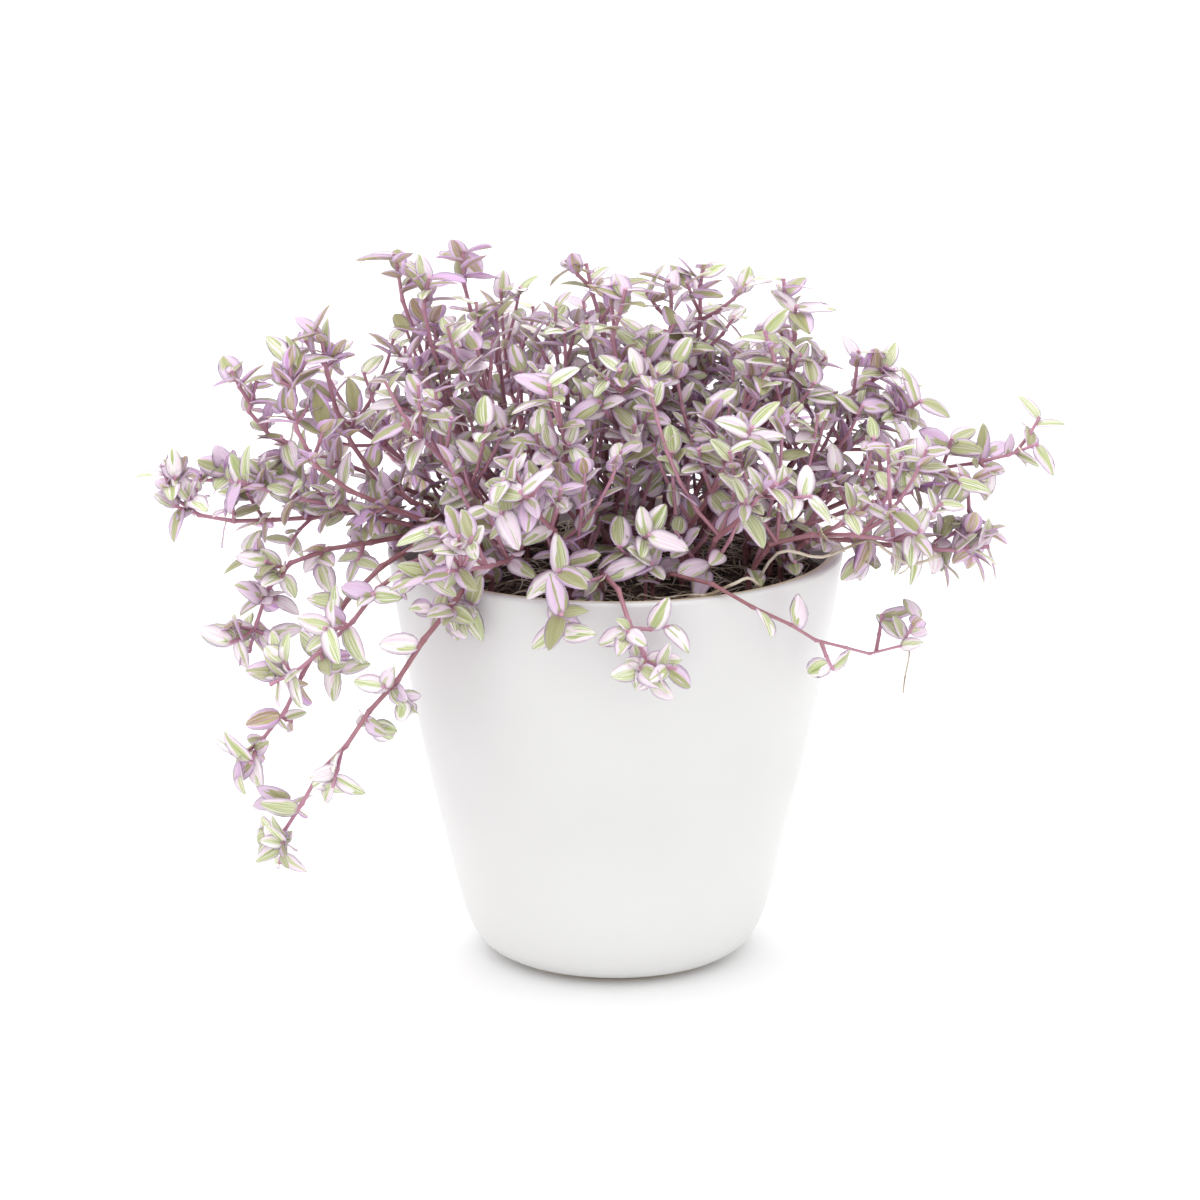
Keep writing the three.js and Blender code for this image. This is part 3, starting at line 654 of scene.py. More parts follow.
def light_on(root, ahead, spray):
    """Where the upper side of a leaf turns to."""
    hang = min(max((POT_HEIGHT - root[2]) / HANG_DEPTH, 0), 1)
    light = UP * (1 - 0.6 * hang) + ahead * 0.5 + spray.outward * (0.3 + 0.6 * hang)
    if spray.name in DUSKY_SPRAYS:
        return light - FRONT * FRONT_LIGHT
    return light + FRONT * FACING_FRONT.get(spray.name, FRONT_LIGHT) * (1 + hang)


def leaf_on(root, ahead, spray, turn, lean, length, thing, draw, share):
    """A leaf, where `draw` is the first of its own draws and `share` its size on a thin shoot."""
    width = length * mix(LEAF_SHARE, chance(thing, draw + 6))
    if share < 1:
        width *= THIN_LEAF_WIDTH
        lean *= mix(THIN_LEAF_LEAN, chance(thing, draw))
    side = square_to(spray.sideways, ahead)
    out = side * math.cos(turn) + np.cross(ahead, side) * math.sin(turn)
    along = ahead * math.cos(lean) + out * math.sin(lean)
    face = square_to(light_on(root, ahead, spray), along)
    across = np.cross(along, face)
    return SimpleNamespace(root=root, along=along, face=face, across=across, length=length, width=width)


def tip_leaves(nodes, spray, count, thing, share=1.0):
    ahead = unit(nodes[-1] - nodes[-2])
    found = []
    for k in range(count):
        root = nodes[-1] + ahead * (-TIP_START - TIP_SPACING * k)
        length = mix(LEAF_LENGTH, chance(thing, 11 + k)) * (1 - TIP_SHRINK * k) * share
        turn = FULL_TURN * chance(thing, 3) + k * FULL_TURN / LEAVES_PER_TURN
        lean = TIP_LEAN - TIP_LEAN_STEP * k + TIP_LEAN_RANGE * chance(thing, 21 + k)
        if spray.name in TUFT_TIP_LEAVES:
            lean *= TUFT_LEAN
        found.append(leaf_on(root, ahead, spray, turn, lean, length, thing, 25 + k, share))
    return found


def middle_of(leaf):
    return leaf.root + leaf.along * leaf.length * 0.45


def node_leaves(nodes, k, spray, thing, share=1.0):
    """The one leaf of a node, or none where the place is bare."""
    ahead = unit(nodes[k + 1] - nodes[k])
    length = mix(LEAF_LENGTH, chance(thing, 41 + k)) * share
    turn = math.pi * k + abs(ahead[2]) * UPRIGHT_TURN * k + NODE_TURN_RANGE * (chance(thing, 51 + k) - 0.5)
    lean = NODE_LEAN + NODE_LEAN_RANGE * chance(thing, 61 + k)
    root = nodes[k] + ahead * ABOVE_NODE
    leaf = leaf_on(root, ahead, spray, turn, lean, length, thing, 65 + k, share)
    return [] if in_bare_place(middle_of(leaf)) else [leaf]


def leaves_of(spray):
    at_tip = TUFT_TIP_LEAVES.get(spray.name, STEM_TIP_LEAVES)
    at_shoot_tip = FEWER_TIP_LEAVES.get(spray.name, SHOOT_TIP_LEAVES)
    leaves = tip_leaves(spray.nodes, spray, at_tip, spray.number * 10 + 9)
    for k in range(1, len(spray.nodes) - 1):
        if chance(spray.number, 40 + k) >= LEAFLESS.get(spray.name, 0):
            leaves += node_leaves(spray.nodes, k, spray, spray.number * 10 + 8)
    for shoot in spray.shoots:
        thin = shoot.thing >= THIN_THINGS
        share = mix(THIN_LEAF_SHARE, chance(shoot.thing, 7)) if thin else 1.0
        leaves += tip_leaves(shoot.nodes, spray, at_shoot_tip, shoot.thing, share)
        for k in range(1, len(shoot.nodes) - 1):
            leaves += node_leaves(shoot.nodes, k, spray, shoot.thing, share)
    return leaves


BOX_LOW, BOX_HIGH = (np.array(corner) / MM for corner in CAD_BOX)


def has_room(leaf):
    """True if a leaf lies in the CAD box, and clear of the pot and the soil."""
    middle = middle_of(leaf)
    sides = [middle + leaf.across * leaf.width * 0.45 * side for side in (-1, 1)]
    points = np.array([leaf.root, middle, leaf.root + leaf.along * leaf.length, *sides])
    return bool((points > BOX_LOW).all() and (points < BOX_HIGH).all() and misses_pot(points, LEAF_MARGIN))


for spray in sprays:
    spray.leaves = [leaf for leaf in leaves_of(spray) if has_room(leaf)]
print(sum(len(spray.leaves) for spray in sprays), "leaves")

# %% [markdown]
# ## Growing meshes with Geometry Nodes
#
# Stems follow paths and leaves repeat, so both are made by Geometry Nodes. A tree gets named inputs for
# its sizes. Another function runs a tree on a start mesh and keeps the result as a plain mesh, because
# the model is exported without modifiers or instances. The shapes that a tree stands on points wait in a
# collection, and are removed once they are used.

# %% Growing meshes with Geometry Nodes
def new_tree(name, inputs):
    """A geometry tree, a call that adds nodes to it, its inputs after its geometry, and its end."""
    tree = bpy.data.node_groups.new(name, "GeometryNodeTree")
    tree.interface.new_socket("Geometry", in_out="OUTPUT", socket_type="NodeSocketGeometry")
    for label, kind in {"Geometry": "Geometry", **inputs}.items():
        tree.interface.new_socket(label, in_out="INPUT", socket_type=f"NodeSocket{kind}")
    add = partial(add_node, tree)
    return tree, add, add("NodeGroupInput").outputs, add("NodeGroupOutput")


def shapes_on(add, given, points, inputs):
    """Stands one of a collection's shapes on each point."""
    apart = {"Separate Children": True, "Reset Children": True}
    shapes = add("CollectionInfo", {"Collection": given["Shapes"], **apart})
    return add("InstanceOnPoints", {"Points": points, "Instance": shapes, "Pick Instance": True, **inputs})


def collection_of(name, shapes):
    collection = bpy.data.collections.new(name)
    for shape in shapes:
        collection.objects.link(shape)
    return collection


def grow(name, start, tree, inputs):
    """Runs a tree on a start mesh, and returns the result as a plain mesh in an object at the origin."""
    piece = bpy.data.objects.new(name, start)
    bpy.context.scene.collection.objects.link(piece)
    modifier = piece.modifiers.new("grow", "NODES")
    modifier.node_group = tree
    for socket in tree.interface.items_tree:
        if socket.in_out == "INPUT" and socket.name in inputs:
            modifier[socket.identifier] = inputs[socket.name]
    evaluated = piece.evaluated_get(bpy.context.evaluated_depsgraph_get())
    made = bpy.data.meshes.new_from_object(evaluated)
    piece.modifiers.remove(modifier)
    piece.data = made
    made.name = name
    bpy.data.meshes.remove(start)
    return piece


def clear(collection):
    """Removes the shapes of a collection once they are used."""
    for shape in list(collection.objects):
        bpy.data.objects.remove(shape)


def store(mesh, name, kind, values, domain="POINT"):
    """Keeps a value for each point of a mesh as a named attribute."""
    attribute = mesh.attributes.new(name, kind, domain)
    field = "vector" if kind == "FLOAT_VECTOR" else "value"
    attribute.data.foreach_set(field, np.array(values).ravel())


def dress(piece, slot, *nodes):
    """Hides the nodes that a piece stands for and puts the piece in the root body; the slot is not used."""
    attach(piece, "root")
    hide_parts(*nodes)
    return piece

# %% [markdown]
# ## Stem skin
#
# The real stem is juicy and smooth, with a thin waxy skin. It is brownish purple near the soil and turns
# to a lighter pinkish mauve towards the tip. The skin is made by a noise along and round the stem, over a
# blend by age, an attribute that each point of a stem carries from 0 at the soil to 1 at the tip.

# %% Stem skin
stem_skin, add, skin = new_material("stem_skin_waxy_purple")
age = add("Attribute", attribute_name="stem_age").outputs["Fac"]
place = add("TexCoord").outputs["Object"]
by_age = add("ValToRGB", {"Fac": age})
set_ramp(by_age, {0.0: "#7c4c48", 0.5: "#98666f", 1.0: "#c38fa8"})
# Flecks of about 2 mm.
mottle = add("TexNoise", {"Vector": place, "Scale": 420.0, "Detail": 3.0})
flecks = add("MapRange", {0: mottle, 1: 0.42, 2: 0.7, 4: 0.55})
mottled = add("Mix", {0: flecks, 6: by_age, 7: "#ac7c86"}, **COLOUR)
gloss = add("MapRange", {0: mottle, 3: 0.34, 4: 0.52})
grain = add("Bump", {"Height": mottle, "Strength": 0.25, "Distance": 0.2 * MM})
connect(skin, {"Base Color": mottled, "Roughness": gloss, "Normal": grain})

# %% [markdown]
# ## Stems
#
# Each stem is a line through its nodes, with a width at each point: a little wider at a node, where the
# leaf's sheath clasps it, and narrower towards the tip. The tree turns the line into a round tube.

# %% The tree for stems
stem_tree, add, given, result = new_tree("stems", {"Sides": "Int", "Smoothing": "Int", "Skin": "Material"})
line = add("MeshToCurve", {"Mesh": given["Geometry"]})
line = add("CurveSplineType", {"Curve": line}, spline_type="CATMULL_ROM")
line = add("SetSplineResolution", {"Geometry": line, "Resolution": given["Smoothing"]})
section = add("CurvePrimitiveCircle", {"Resolution": given["Sides"], "Radius": 1.0})
radius = add("InputNamedAttribute", {"Name": "stem_radius"})
tube = add("CurveToMesh", {"Curve": line, "Profile Curve": section, "Scale": radius, "Fill Caps": True})
whole = add("RealizeInstances", {"Geometry": tube})
connect(result, {0: add("SetMaterial", {"Geometry": whole, "Material": given["Skin"]})})

# %% Stems
STEM_RADIUS = (0.95, 0.58)
SHOOT_RADIUS = (0.66, 0.5)
SHOOT_AGES = (0.55, 1)  # a shoot is as young as the upper part of its stem
THINNER_STEMS = {"hanging_right": 0.7, "front_star": 0.7, "far_right": 0.85}
NODE_SWELLING = 1.35
SWELLING_SHARE = 0.12  # how much of an internode a swelling takes at each of its ends
STEM_DETAIL = {"Sides": 7, "Smoothing": 2}


def stem_line(nodes, radii, ages):
    """Points along a stem with their radius and age: three for each internode."""
    found = []
    last = len(nodes) - 1
    for k, node in enumerate(nodes):
        share = k / last
        found.append((node, mix(radii, share) * (NODE_SWELLING if k else 1), mix(ages, share)))
        if k < last:
            for inner in (SWELLING_SHARE, 1 - SWELLING_SHARE):
                share = (k + inner) / last
                found.append((node + (nodes[k + 1] - node) * inner, mix(radii, share), mix(ages, share)))
    return found


def start_mesh_of_lines(lines):
    points, edges = [], []
    for line in lines:
        edges += [(k, k + 1) for k in range(len(points), len(points) + len(line) - 1)]
        points += line
    mesh = bpy.data.meshes.new("lines")
    mesh.from_pydata([tuple(place * MM) for place, _, _ in points], edges, [])
    store(mesh, "stem_radius", "FLOAT", [radius * MM for _, radius, _ in points])
    store(mesh, "stem_age", "FLOAT", [age for _, _, age in points])
    return mesh


faces = 0
for spray in sprays:
    thickness = [radius * THINNER_STEMS.get(spray.name, 1) for radius in STEM_RADIUS]
    lines = [stem_line(spray.nodes, thickness, (0, 1))]
    lines += [stem_line(shoot.nodes, SHOOT_RADIUS, SHOOT_AGES) for shoot in spray.shoots]
    start = start_mesh_of_lines(lines)
    stems = grow(f"{spray.node}_stems", start, stem_tree, {**STEM_DETAIL, "Skin": stem_skin})
    stems.data.shade_smooth()
    dress(stems, "foliage", spray.node)
    faces += len(stems.data.polygons)
print("stems:", faces, "faces")

# %% [markdown]
# ## Leaf skin, upper side
#
# A leaf of this plant is striped along its length. Two or three bands of green run in a field of cream and
# pink, and all of them meet at the base and at the tip. Each leaf carries two numbers at each point: where
# it is across the blade, from -1 to 1, and along it, from 0 to 1. A noise that changes fast across and
# slowly along gives stripes that follow the blade, and a number of the leaf's own makes each one different.

# %% Leaf skin, upper side
LIGHT_THROUGH = 0.4  # how much light spreads in the blade, which glows a little when lit from behind
LIGHT_REACH = 2.0 * MM


def leaf_stripes(blade, bands, shift):
    """A noise drawn out along the blade, with more or fewer bands across it, other on each leaf."""
    add = blade.add
    across = add("Math", {0: blade.across, 1: bands}, operation="MULTIPLY")
    along = add("Math", {0: blade.along, 1: 0.7}, operation="MULTIPLY")
    own = add("Math", {0: blade.chance, 1: 61.0, 2: shift}, operation="MULTIPLY_ADD")
    spot = add("CombineXYZ", {0: across, 1: along, 2: own})
    return add("TexNoise", {"Vector": spot, "Scale": 1.0, "Detail": 1.0})


def new_blade(name):
    """A leaf skin with what its two sides share: a point's marks on the mesh, and the stripes."""
    blade = SimpleNamespace()
    blade.material, blade.add, blade.skin = new_material(name)
    for mark in ("across", "along", "chance", "shade"):
        setattr(blade, mark, blade.add("Attribute", attribute_name=f"leaf_{mark}").outputs["Fac"])
    blade.edge = blade.add("Math", {0: blade.across}, operation="ABSOLUTE")
    blade.halves = leaf_stripes(blade, 0.9, 0.0)
    blade.fine = leaf_stripes(blade, 9.0, 7.0)
    blade.tone = blade.add("MapRange", {0: leaf_stripes(blade, 4.0, 3.0), 1: 0.35, 2: 0.65})
    return blade


def finish_blade(blade, colour, gloss, midrib):
    """Adds veins that run along the blade, with the midrib sunk (1) or raised (-1), and light inside."""
    add = blade.add
    swing = add("Math", {0: blade.across, 1: 26.0}, operation="MULTIPLY")
    veins = add("Math", {0: swing}, operation="SINE")
    rib = add("MapRange", {0: blade.edge, 2: 0.12, 4: midrib}, **SOFT)
    height = add("Math", {0: veins, 1: 0.3, 2: rib}, operation="MULTIPLY_ADD")
    relief = add("Bump", {"Height": height, "Strength": 0.5, "Distance": 0.12 * MM})
    gloss = add("MapRange", {0: blade.fine, 1: 0.2, 2: 0.8, 3: gloss[0], 4: gloss[1]})
    connect(blade.skin, {"Base Color": colour, "Roughness": gloss, "Normal": relief})
    connect(blade.skin, {"Subsurface Weight": LIGHT_THROUGH, "Subsurface Scale": LIGHT_REACH})
    connect(blade.skin, {"Subsurface Radius": (1.0, 1.0, 1.0)})


upper = new_blade("leaf_upper_side_variegated")
add, edge, fine, tone = upper.add, upper.edge, upper.fine, upper.tone
reach = add("MapRange", {0: upper.halves, 1: 0.35, 2: 0.65, 3: -0.15, 4: 1.15})
reach = add("Math", {0: fine, 1: 0.5, 2: reach}, operation="MULTIPLY_ADD")
inside = add("Math", {0: reach, 1: edge}, operation="SUBTRACT")
green = add("MapRange", {0: inside, 1: 0.2, 2: 0.32}, **SOFT)
grassy = add("Mix", {0: tone, 6: "#96a662", 7: "#c4ce9a"}, **COLOUR)
lines = add("MapRange", {0: fine, 1: 0.52, 2: 0.62, 4: 0.7}, **SOFT)
striped = add("Mix", {0: lines, 6: grassy, 7: "#f6f4ec"}, **COLOUR)
dusky = add("Mix", {0: green, 6: "#c49cca", 7: "#8a8658"}, **COLOUR)
rim = add("MapRange", {0: edge, 1: 0.84, 2: 1.0, 4: 0.75}, **SOFT)
base = add("MapRange", {0: upper.along, 2: 0.16, 3: 0.55, 4: 0.0}, **SOFT)
colour = add("Mix", {0: tone, 6: "#f8f2f2", 7: "#e9cfdd"}, **COLOUR)  # the cream and pink field
for share, over in ((green, striped), (upper.shade, dusky), (rim, "#be78d2"), (base, "#c183c8")):
    colour = add("Mix", {0: share, 6: colour, 7: over}, **COLOUR)
finish_blade(upper, colour, (0.36, 0.52), 1.0)

# %% [markdown]
# ## Leaf skin, under side
#
# Turned over, the same leaf is violet. The green bands of the upper side show through as olive brown, so
# the same stripes are used with other colours, and the midrib stands out instead of sinking in.

# %% Leaf skin, under side
under = new_blade("leaf_under_side_violet")
add, edge, fine, tone = under.add, under.edge, under.fine, under.tone
reach = add("MapRange", {0: under.halves, 1: 0.32, 2: 0.68, 3: 0.0, 4: 0.85})
inside = add("Math", {0: reach, 1: edge}, operation="SUBTRACT")
olive = add("MapRange", {0: inside, 1: -0.05, 2: 0.07}, **SOFT)
brown = add("Mix", {0: tone, 6: "#947a5e", 7: "#b4ac74"}, **COLOUR)
lines = add("MapRange", {0: fine, 1: 0.53, 2: 0.6, 4: 0.6}, **SOFT)
brown = add("Mix", {0: lines, 6: brown, 7: "#d9c4d2"}, **COLOUR)
rib = add("MapRange", {0: edge, 1: 0.03, 2: 0.1, 3: 0.6, 4: 0.0}, **SOFT)
colour = add("Mix", {0: tone, 6: "#c186cc", 7: "#e8c8e4"}, **COLOUR)  # the violet field
for share, over in ((olive, brown), (rib, "#c99ac0")):
    colour = add("Mix", {0: share, 6: colour, 7: over}, **COLOUR)
finish_blade(under, colour, (0.4, 0.55), -1.0)

# %% [markdown]
# ## Leaf shapes
#
# The blade is oval with a pointed tip, widest before its middle, folded up from the midrib like a shallow
# boat, and arched down towards the tip. Four versions differ in fold, arch and bend, so that the repeats
# don't show. Each has a few dozen faces: an upper and an under skin that share one outline.

# %% Leaf shapes
BLADE_ROWS = (0.05, 0.17, 0.36, 0.58, 0.77, 0.9)
BLADE_COLUMNS = (-1.0, -0.5, 0.0, 0.5, 1.0)
SHAPE_SHARE = 0.52  # width of the shapes as a share of their length of 1
BLADE_THICKNESS = 0.03
THIN_EDGE = 0.1  # the blade is thinner where it is narrower than this
BASE_ROUNDING, TIP_ROUNDING = 0.45, 0.68  # 0.5 is the end of an ellipse, and 1 is a straight point
WIDEST = BASE_ROUNDING / (BASE_ROUNDING + TIP_ROUNDING)
# The fold, arch, bend and wave of each shape.
LEAF_SHAPES = {
    "leaf_a_open": (0.2, 0.14, 0.03, 0.03),
    "leaf_b_folded": (0.42, 0.1, -0.04, 0.02),
    "leaf_c_curled": (0.25, 0.26, 0.05, 0.06),
    "leaf_d_flat": (0.1, 0.17, -0.06, 0.1),
}


def blade_outline(along):
    return along**BASE_ROUNDING * (1 - along) ** TIP_ROUNDING


def leaf_shape(name, fold, arch, bend, wave):
    def place(along, across, side):
        half = 0.5 * SHAPE_SHARE * blade_outline(along) / blade_outline(WIDEST)
        x = across * half + bend * along * along
        z = fold * abs(across) * half - arch * along * along
        z += wave * math.sin(along * 9 + across * 2) * across * half
        z += side * 0.5 * BLADE_THICKNESS * (1 - across * across) * min(half / THIN_EDGE, 1)
        return (x, along, z)

    corners, marks = [(0, 0, 0), place(1, 0, 0)], [(0, 0), (0, 1)]
    index = {}
    for side in (1, -1):
        for i, along in enumerate(BLADE_ROWS):
            for j, across in enumerate(BLADE_COLUMNS):
                if side < 0 and abs(across) == 1:
                    index[side, i, j] = index[1, i, j]
                    continue
                index[side, i, j] = len(corners)
                corners.append(place(along, across, side))
                marks.append((across, along))
    faces, under = [], []
    for side in (1, -1):
        for j in range(len(BLADE_COLUMNS) - 1):
            strip = [(index[side, i, j], index[side, i, j + 1]) for i in range(len(BLADE_ROWS))]
            made = [(0, strip[0][1], strip[0][0]), (1, strip[-1][0], strip[-1][1])]
            made += [(a, b, d, c) for (a, b), (c, d) in zip(strip, strip[1:])]
            faces += [face[::side] for face in made]
            under += [side < 0] * len(made)
    mesh = bpy.data.meshes.new(name)
    mesh.from_pydata(corners, [], faces)
    store(mesh, "leaf_across", "FLOAT", [across for across, _ in marks])
    store(mesh, "leaf_along", "FLOAT", [along for _, along in marks])
    store(mesh, "underside", "BOOLEAN", under, "FACE")
    mesh.shade_smooth()
    return bpy.data.objects.new(name, mesh)


leaf_shapes = collection_of("leaf_shapes", [leaf_shape(name, *form) for name, form in LEAF_SHAPES.items()])

# %% [markdown]
# ## Leaves
#
# The tree stands a leaf shape on each point of a start mesh, which carries the leaf's turn, size, shape and
# shade. It rolls each leaf a little about its own length with a fixed seed, because real leaves don't face
# the sky exactly, and gives it a number of its own for the stripes.

# %% The tree for leaves
leaf_tree, add, given, result = new_tree(
    "leaves",
    {
        **{"Shapes": "Collection", "Roll": "Float", "Nod": "Float", "Seed": "Int"},
        **{"Upper side": "Material", "Under side": "Material"},
    },
)
kinds = {"leaf_shape": "INT", "leaf_turn": "FLOAT_VECTOR", "leaf_size": "FLOAT_VECTOR"}
kinds["underside"] = "BOOLEAN"
shape, turn, size, underside = (
    add("InputNamedAttribute", {"Name": name}, data_type=kind) for name, kind in kinds.items()
)
inputs = {"Instance Index": shape, "Rotation": turn, "Scale": size}
standing = shapes_on(add, given, given["Geometry"], inputs)
swings = []
for label, shift in (("Nod", 2.0), ("Roll", 1.0)):
    least = add("ShaderNodeMath", {0: given[label], 1: -1.0}, operation="MULTIPLY")
    seed = add("ShaderNodeMath", {0: given["Seed"], 1: shift})
    swings.append(add("FunctionNodeRandomValue", {2: least, 3: given[label], "Seed": seed}))
swing = add("ShaderNodeCombineXYZ", {0: swings[0], 1: swings[1]})
turned = add("RotateInstances", {"Instances": standing, "Rotation": swing, "Local Space": True})
own = add("FunctionNodeRandomValue", {2: 0.0, 3: 1.0, "Seed": given["Seed"]})
kept = {"data_type": "FLOAT", "domain": "INSTANCE"}
numbered = add("StoreNamedAttribute", {"Geometry": turned, "Name": "leaf_chance", "Value": own}, **kept)
whole = add("RealizeInstances", {"Geometry": numbered})
whole = add("SetMaterial", {"Geometry": whole, "Material": given["Upper side"]})
inputs = {"Geometry": whole, "Selection": underside, "Material": given["Under side"]}
connect(result, {0: add("SetMaterial", inputs)})

# %% Leaves
LEAF_TREE_INPUTS = {
    "Shapes": leaf_shapes,
    "Roll": 0.45,
    "Nod": 0.22,
    "Upper side": upper.material,
    "Under side": under.material,
}


def turn_of(leaf):
    """The leaf's turn as Euler angles: x across the blade, y along it, z out of its upper side."""
    return Matrix((leaf.across, leaf.along, leaf.face)).transposed().to_euler()


def start_mesh_of_leaves(spray):
    leaves = spray.leaves
    draws = [chance(spray.number * 7 + 3, 100 + i) for i in range(len(leaves))]
    dusk = DUSKY_SPRAYS.get(spray.name, 0.2 + 0.15 * chance(spray.number, 500))
    mesh = bpy.data.meshes.new("leaf_places")
    mesh.from_pydata([tuple(leaf.root * MM) for leaf in leaves], [], [])
    store(mesh, "leaf_turn", "FLOAT_VECTOR", [tuple(turn_of(leaf)) for leaf in leaves])
    sizes = [(leaf.width / SHAPE_SHARE, leaf.length, leaf.length) for leaf in leaves]
    store(mesh, "leaf_size", "FLOAT_VECTOR", np.array(sizes) * MM)
    store(mesh, "leaf_shape", "INT", [math.floor(draw * len(LEAF_SHAPES)) for draw in draws])
    shades = [dusk + 1.1 * (chance(spray.number, 700 + i) - 0.5) for i in range(len(leaves))]
    store(mesh, "leaf_shade", "FLOAT", np.clip(shades, 0, 1))
    return mesh


faces = 0
for spray in sprays:
    start = start_mesh_of_leaves(spray)
    inputs = {**LEAF_TREE_INPUTS, "Seed": spray.number * 10}
    leaves = dress(grow(f"{spray.node}_leaves", start, leaf_tree, inputs), "foliage", spray.node)
    faces += len(leaves.data.polygons)
clear(leaf_shapes)
print("leaves:", faces, "faces")

# %% [markdown]
# ## Glazed pot
#
# The pot is slip-cast earthenware under a thick white satin glaze. Its profile is turned about the pot's
# axis, which gives a round wall, a rounded bottom and a soft lip in one closed skin. It could be spun by a
# modifier, but rings of points keep the pole and the lip exact.

# %% Turning a profile
def turned_mesh(name, profile, sides, lift=None):
    """A closed turned mesh. The profile runs from the axis, round the outside and back to the axis."""
    rings = profile[1:-1]
    corners = [(0, 0, profile[0][1])]
    for radius, height in rings:
        for i in range(sides):
            turn = FULL_TURN * i / sides
            corners.append((radius * math.cos(turn), radius * math.sin(turn), height))
    corners.append((0, 0, profile[-1][1]))
    if lift:
        corners = [(x, y, height + lift(x, y, height)) for x, y, height in corners]
    faces = []
    for i in range(sides):
        after = (i + 1) % sides
        faces.append((0, 1 + after, 1 + i))
        for row in range(len(rings) - 1):
            low, high = 1 + row * sides, 1 + (row + 1) * sides
            faces.append((low + i, low + after, high + after, high + i))
        low = 1 + (len(rings) - 1) * sides
        faces.append((low + i, low + after, len(corners) - 1))
    mesh = bpy.data.meshes.new(name)
    mesh.from_pydata(np.array(corners) * MM, [], faces)
    mesh.shade_smooth()
    piece = bpy.data.objects.new(name, mesh)
    bpy.context.scene.collection.objects.link(piece)
    return piece

# %% Glazed pot
WALL = 4.5
FOOT_RADIUS = 34
FOOT_RISE = 1
UNDER_FOOT = 0.6  # inside its bare ring, the bottom stands clear of the ground
CORNER_PULLS = ((46.5, 1.5), (47.8, 15.8))  # where a curve's handles pull the corner, from foot to wall
CORNER_END = 0.08  # the share of the wall where the corner's curve has become the wall
CORNER_STEPS = 14
CORNER_RADIUS = 50.5
CORNER_HEIGHT = 27
WALL_BULGE = 1.7
WALL_STEPS = 16
FLOOR_HEIGHT = 7
FLOOR_RADIUS = 36
LIP_RADIUS = 1.3
LIP_HEIGHT = POT_HEIGHT - LIP_RADIUS
POT_SIDES = 144


def wall_point(share, inwards=0):
    """A point of the wall, or as far inwards from it, between its corner (0) and the rim (1)."""
    radius = mix((CORNER_RADIUS, RIM_RADIUS), share) + WALL_BULGE * 4 * share * (1 - share)
    return radius - inwards, mix((CORNER_HEIGHT, POT_HEIGHT), share)


def quarter(centre, start):
    """A quarter of the lip's round edge, from an angle in degrees above the horizontal."""
    turns = [math.radians(start + 90 * k / 5) for k in range(6)]
    return [(centre + LIP_RADIUS * math.cos(t), LIP_HEIGHT + LIP_RADIUS * math.sin(t)) for t in turns]


pot_profile = [(0, UNDER_FOOT), (FOOT_RADIUS - 3.2, UNDER_FOOT), (FOOT_RADIUS - 2.6, 0)]
pot_profile += [(FOOT_RADIUS - 0.5, 0), (FOOT_RADIUS, 0.4), (FOOT_RADIUS + 0.3, FOOT_RISE)]
ends = np.array([pot_profile[-1], *CORNER_PULLS, wall_point(CORNER_END)])
for k in range(1, CORNER_STEPS + 1):
    share = k / CORNER_STEPS
    weights = ((1 - share) ** 3, 3 * share * (1 - share) ** 2, 3 * share**2 * (1 - share), share**3)
    pot_profile.append(tuple(weights @ ends))
pot_profile += [wall_point(mix((CORNER_END, 1), k / WALL_STEPS)) for k in range(1, WALL_STEPS)]
pot_profile += quarter(RIM_RADIUS - LIP_RADIUS, 0) + quarter(RIM_RADIUS - WALL + LIP_RADIUS, 90)
pot_profile += [wall_point(share, WALL) for share in (0.95, 0.9, 0.8, 0.6, 0.3, 0)]
pot_profile += [(FLOOR_RADIUS, FLOOR_HEIGHT), (0, FLOOR_HEIGHT)]
pot = turned_mesh("pot_glazed", pot_profile, POT_SIDES)
dress(pot, "pot", "pot")
print("pot:", len(pot.data.polygons), "faces")

# %% [markdown]
# ## White glaze
#
# A satin glaze is smooth, but not flat: it settles in long waves of a few centimetres and has a fine
# orange peel. Both are noises for the bump. The glaze is also painted whiter towards the foot, which is
# painted light standing in for light thrown up from the floor. Where the foot stands on the kiln shelf
# the clay is bare and tan, and the glaze runs thin along the lip's inner edge, so the height and the
# radius pick those places.

# %% White glaze
glaze, add, skin = new_material("earthenware_white_satin_glaze")
place = add("TexCoord").outputs["Object"]
x, y, height = add("SeparateXYZ", {0: place}).outputs
squares = [add("Math", {0: n, 1: 2.0}, operation="POWER") for n in (x, y)]
from_axis = add("Math", {0: squares[0], 1: squares[1]}, operation="ADD")
from_axis = add("Math", {0: from_axis}, operation="SQRT")
waves = add("TexNoise", {"Vector": place, "Scale": 22.0, "Detail": 0.5})
peel = add("TexNoise", {"Vector": place, "Scale": 900.0, "Detail": 2.0})
smudge = add("TexNoise", {"Vector": place, "Scale": 30.0, "Detail": 2.0})
cloud = add("MapRange", {0: smudge, 1: 0.3, 2: 0.7}, **SOFT)
white = add("Mix", {0: cloud, 6: "#d3d3d2", 7: "#d1d1d0"}, **COLOUR)
# painted light: the glaze is painted whiter from about 70 mm down to the foot, standing in for light thrown
# up from the floor
painted_light_to_foot = add("MapRange", {0: height, 1: 5.0 * MM, 2: 70.0 * MM, 3: 1, 4: 0}, **SOFT)
near_lip = add("MapRange", {0: height, 1: 128.0 * MM, 2: 128.3 * MM, 4: 0.8}, **SOFT)
inner = add("MapRange", {0: from_axis, 1: 67.6 * MM, 2: 68.4 * MM, 3: 1, 4: 0}, **SOFT)
lip_line = add("Math", {0: near_lip, 1: inner}, operation="MULTIPLY")
bare_foot = add("MapRange", {0: height, 1: 0.7 * MM, 2: 1.4 * MM, 3: 1, 4: 0}, **SOFT)
clay = add("Mix", {0: peel, 6: "#b79c78", 7: "#cdb695"}, **COLOUR)
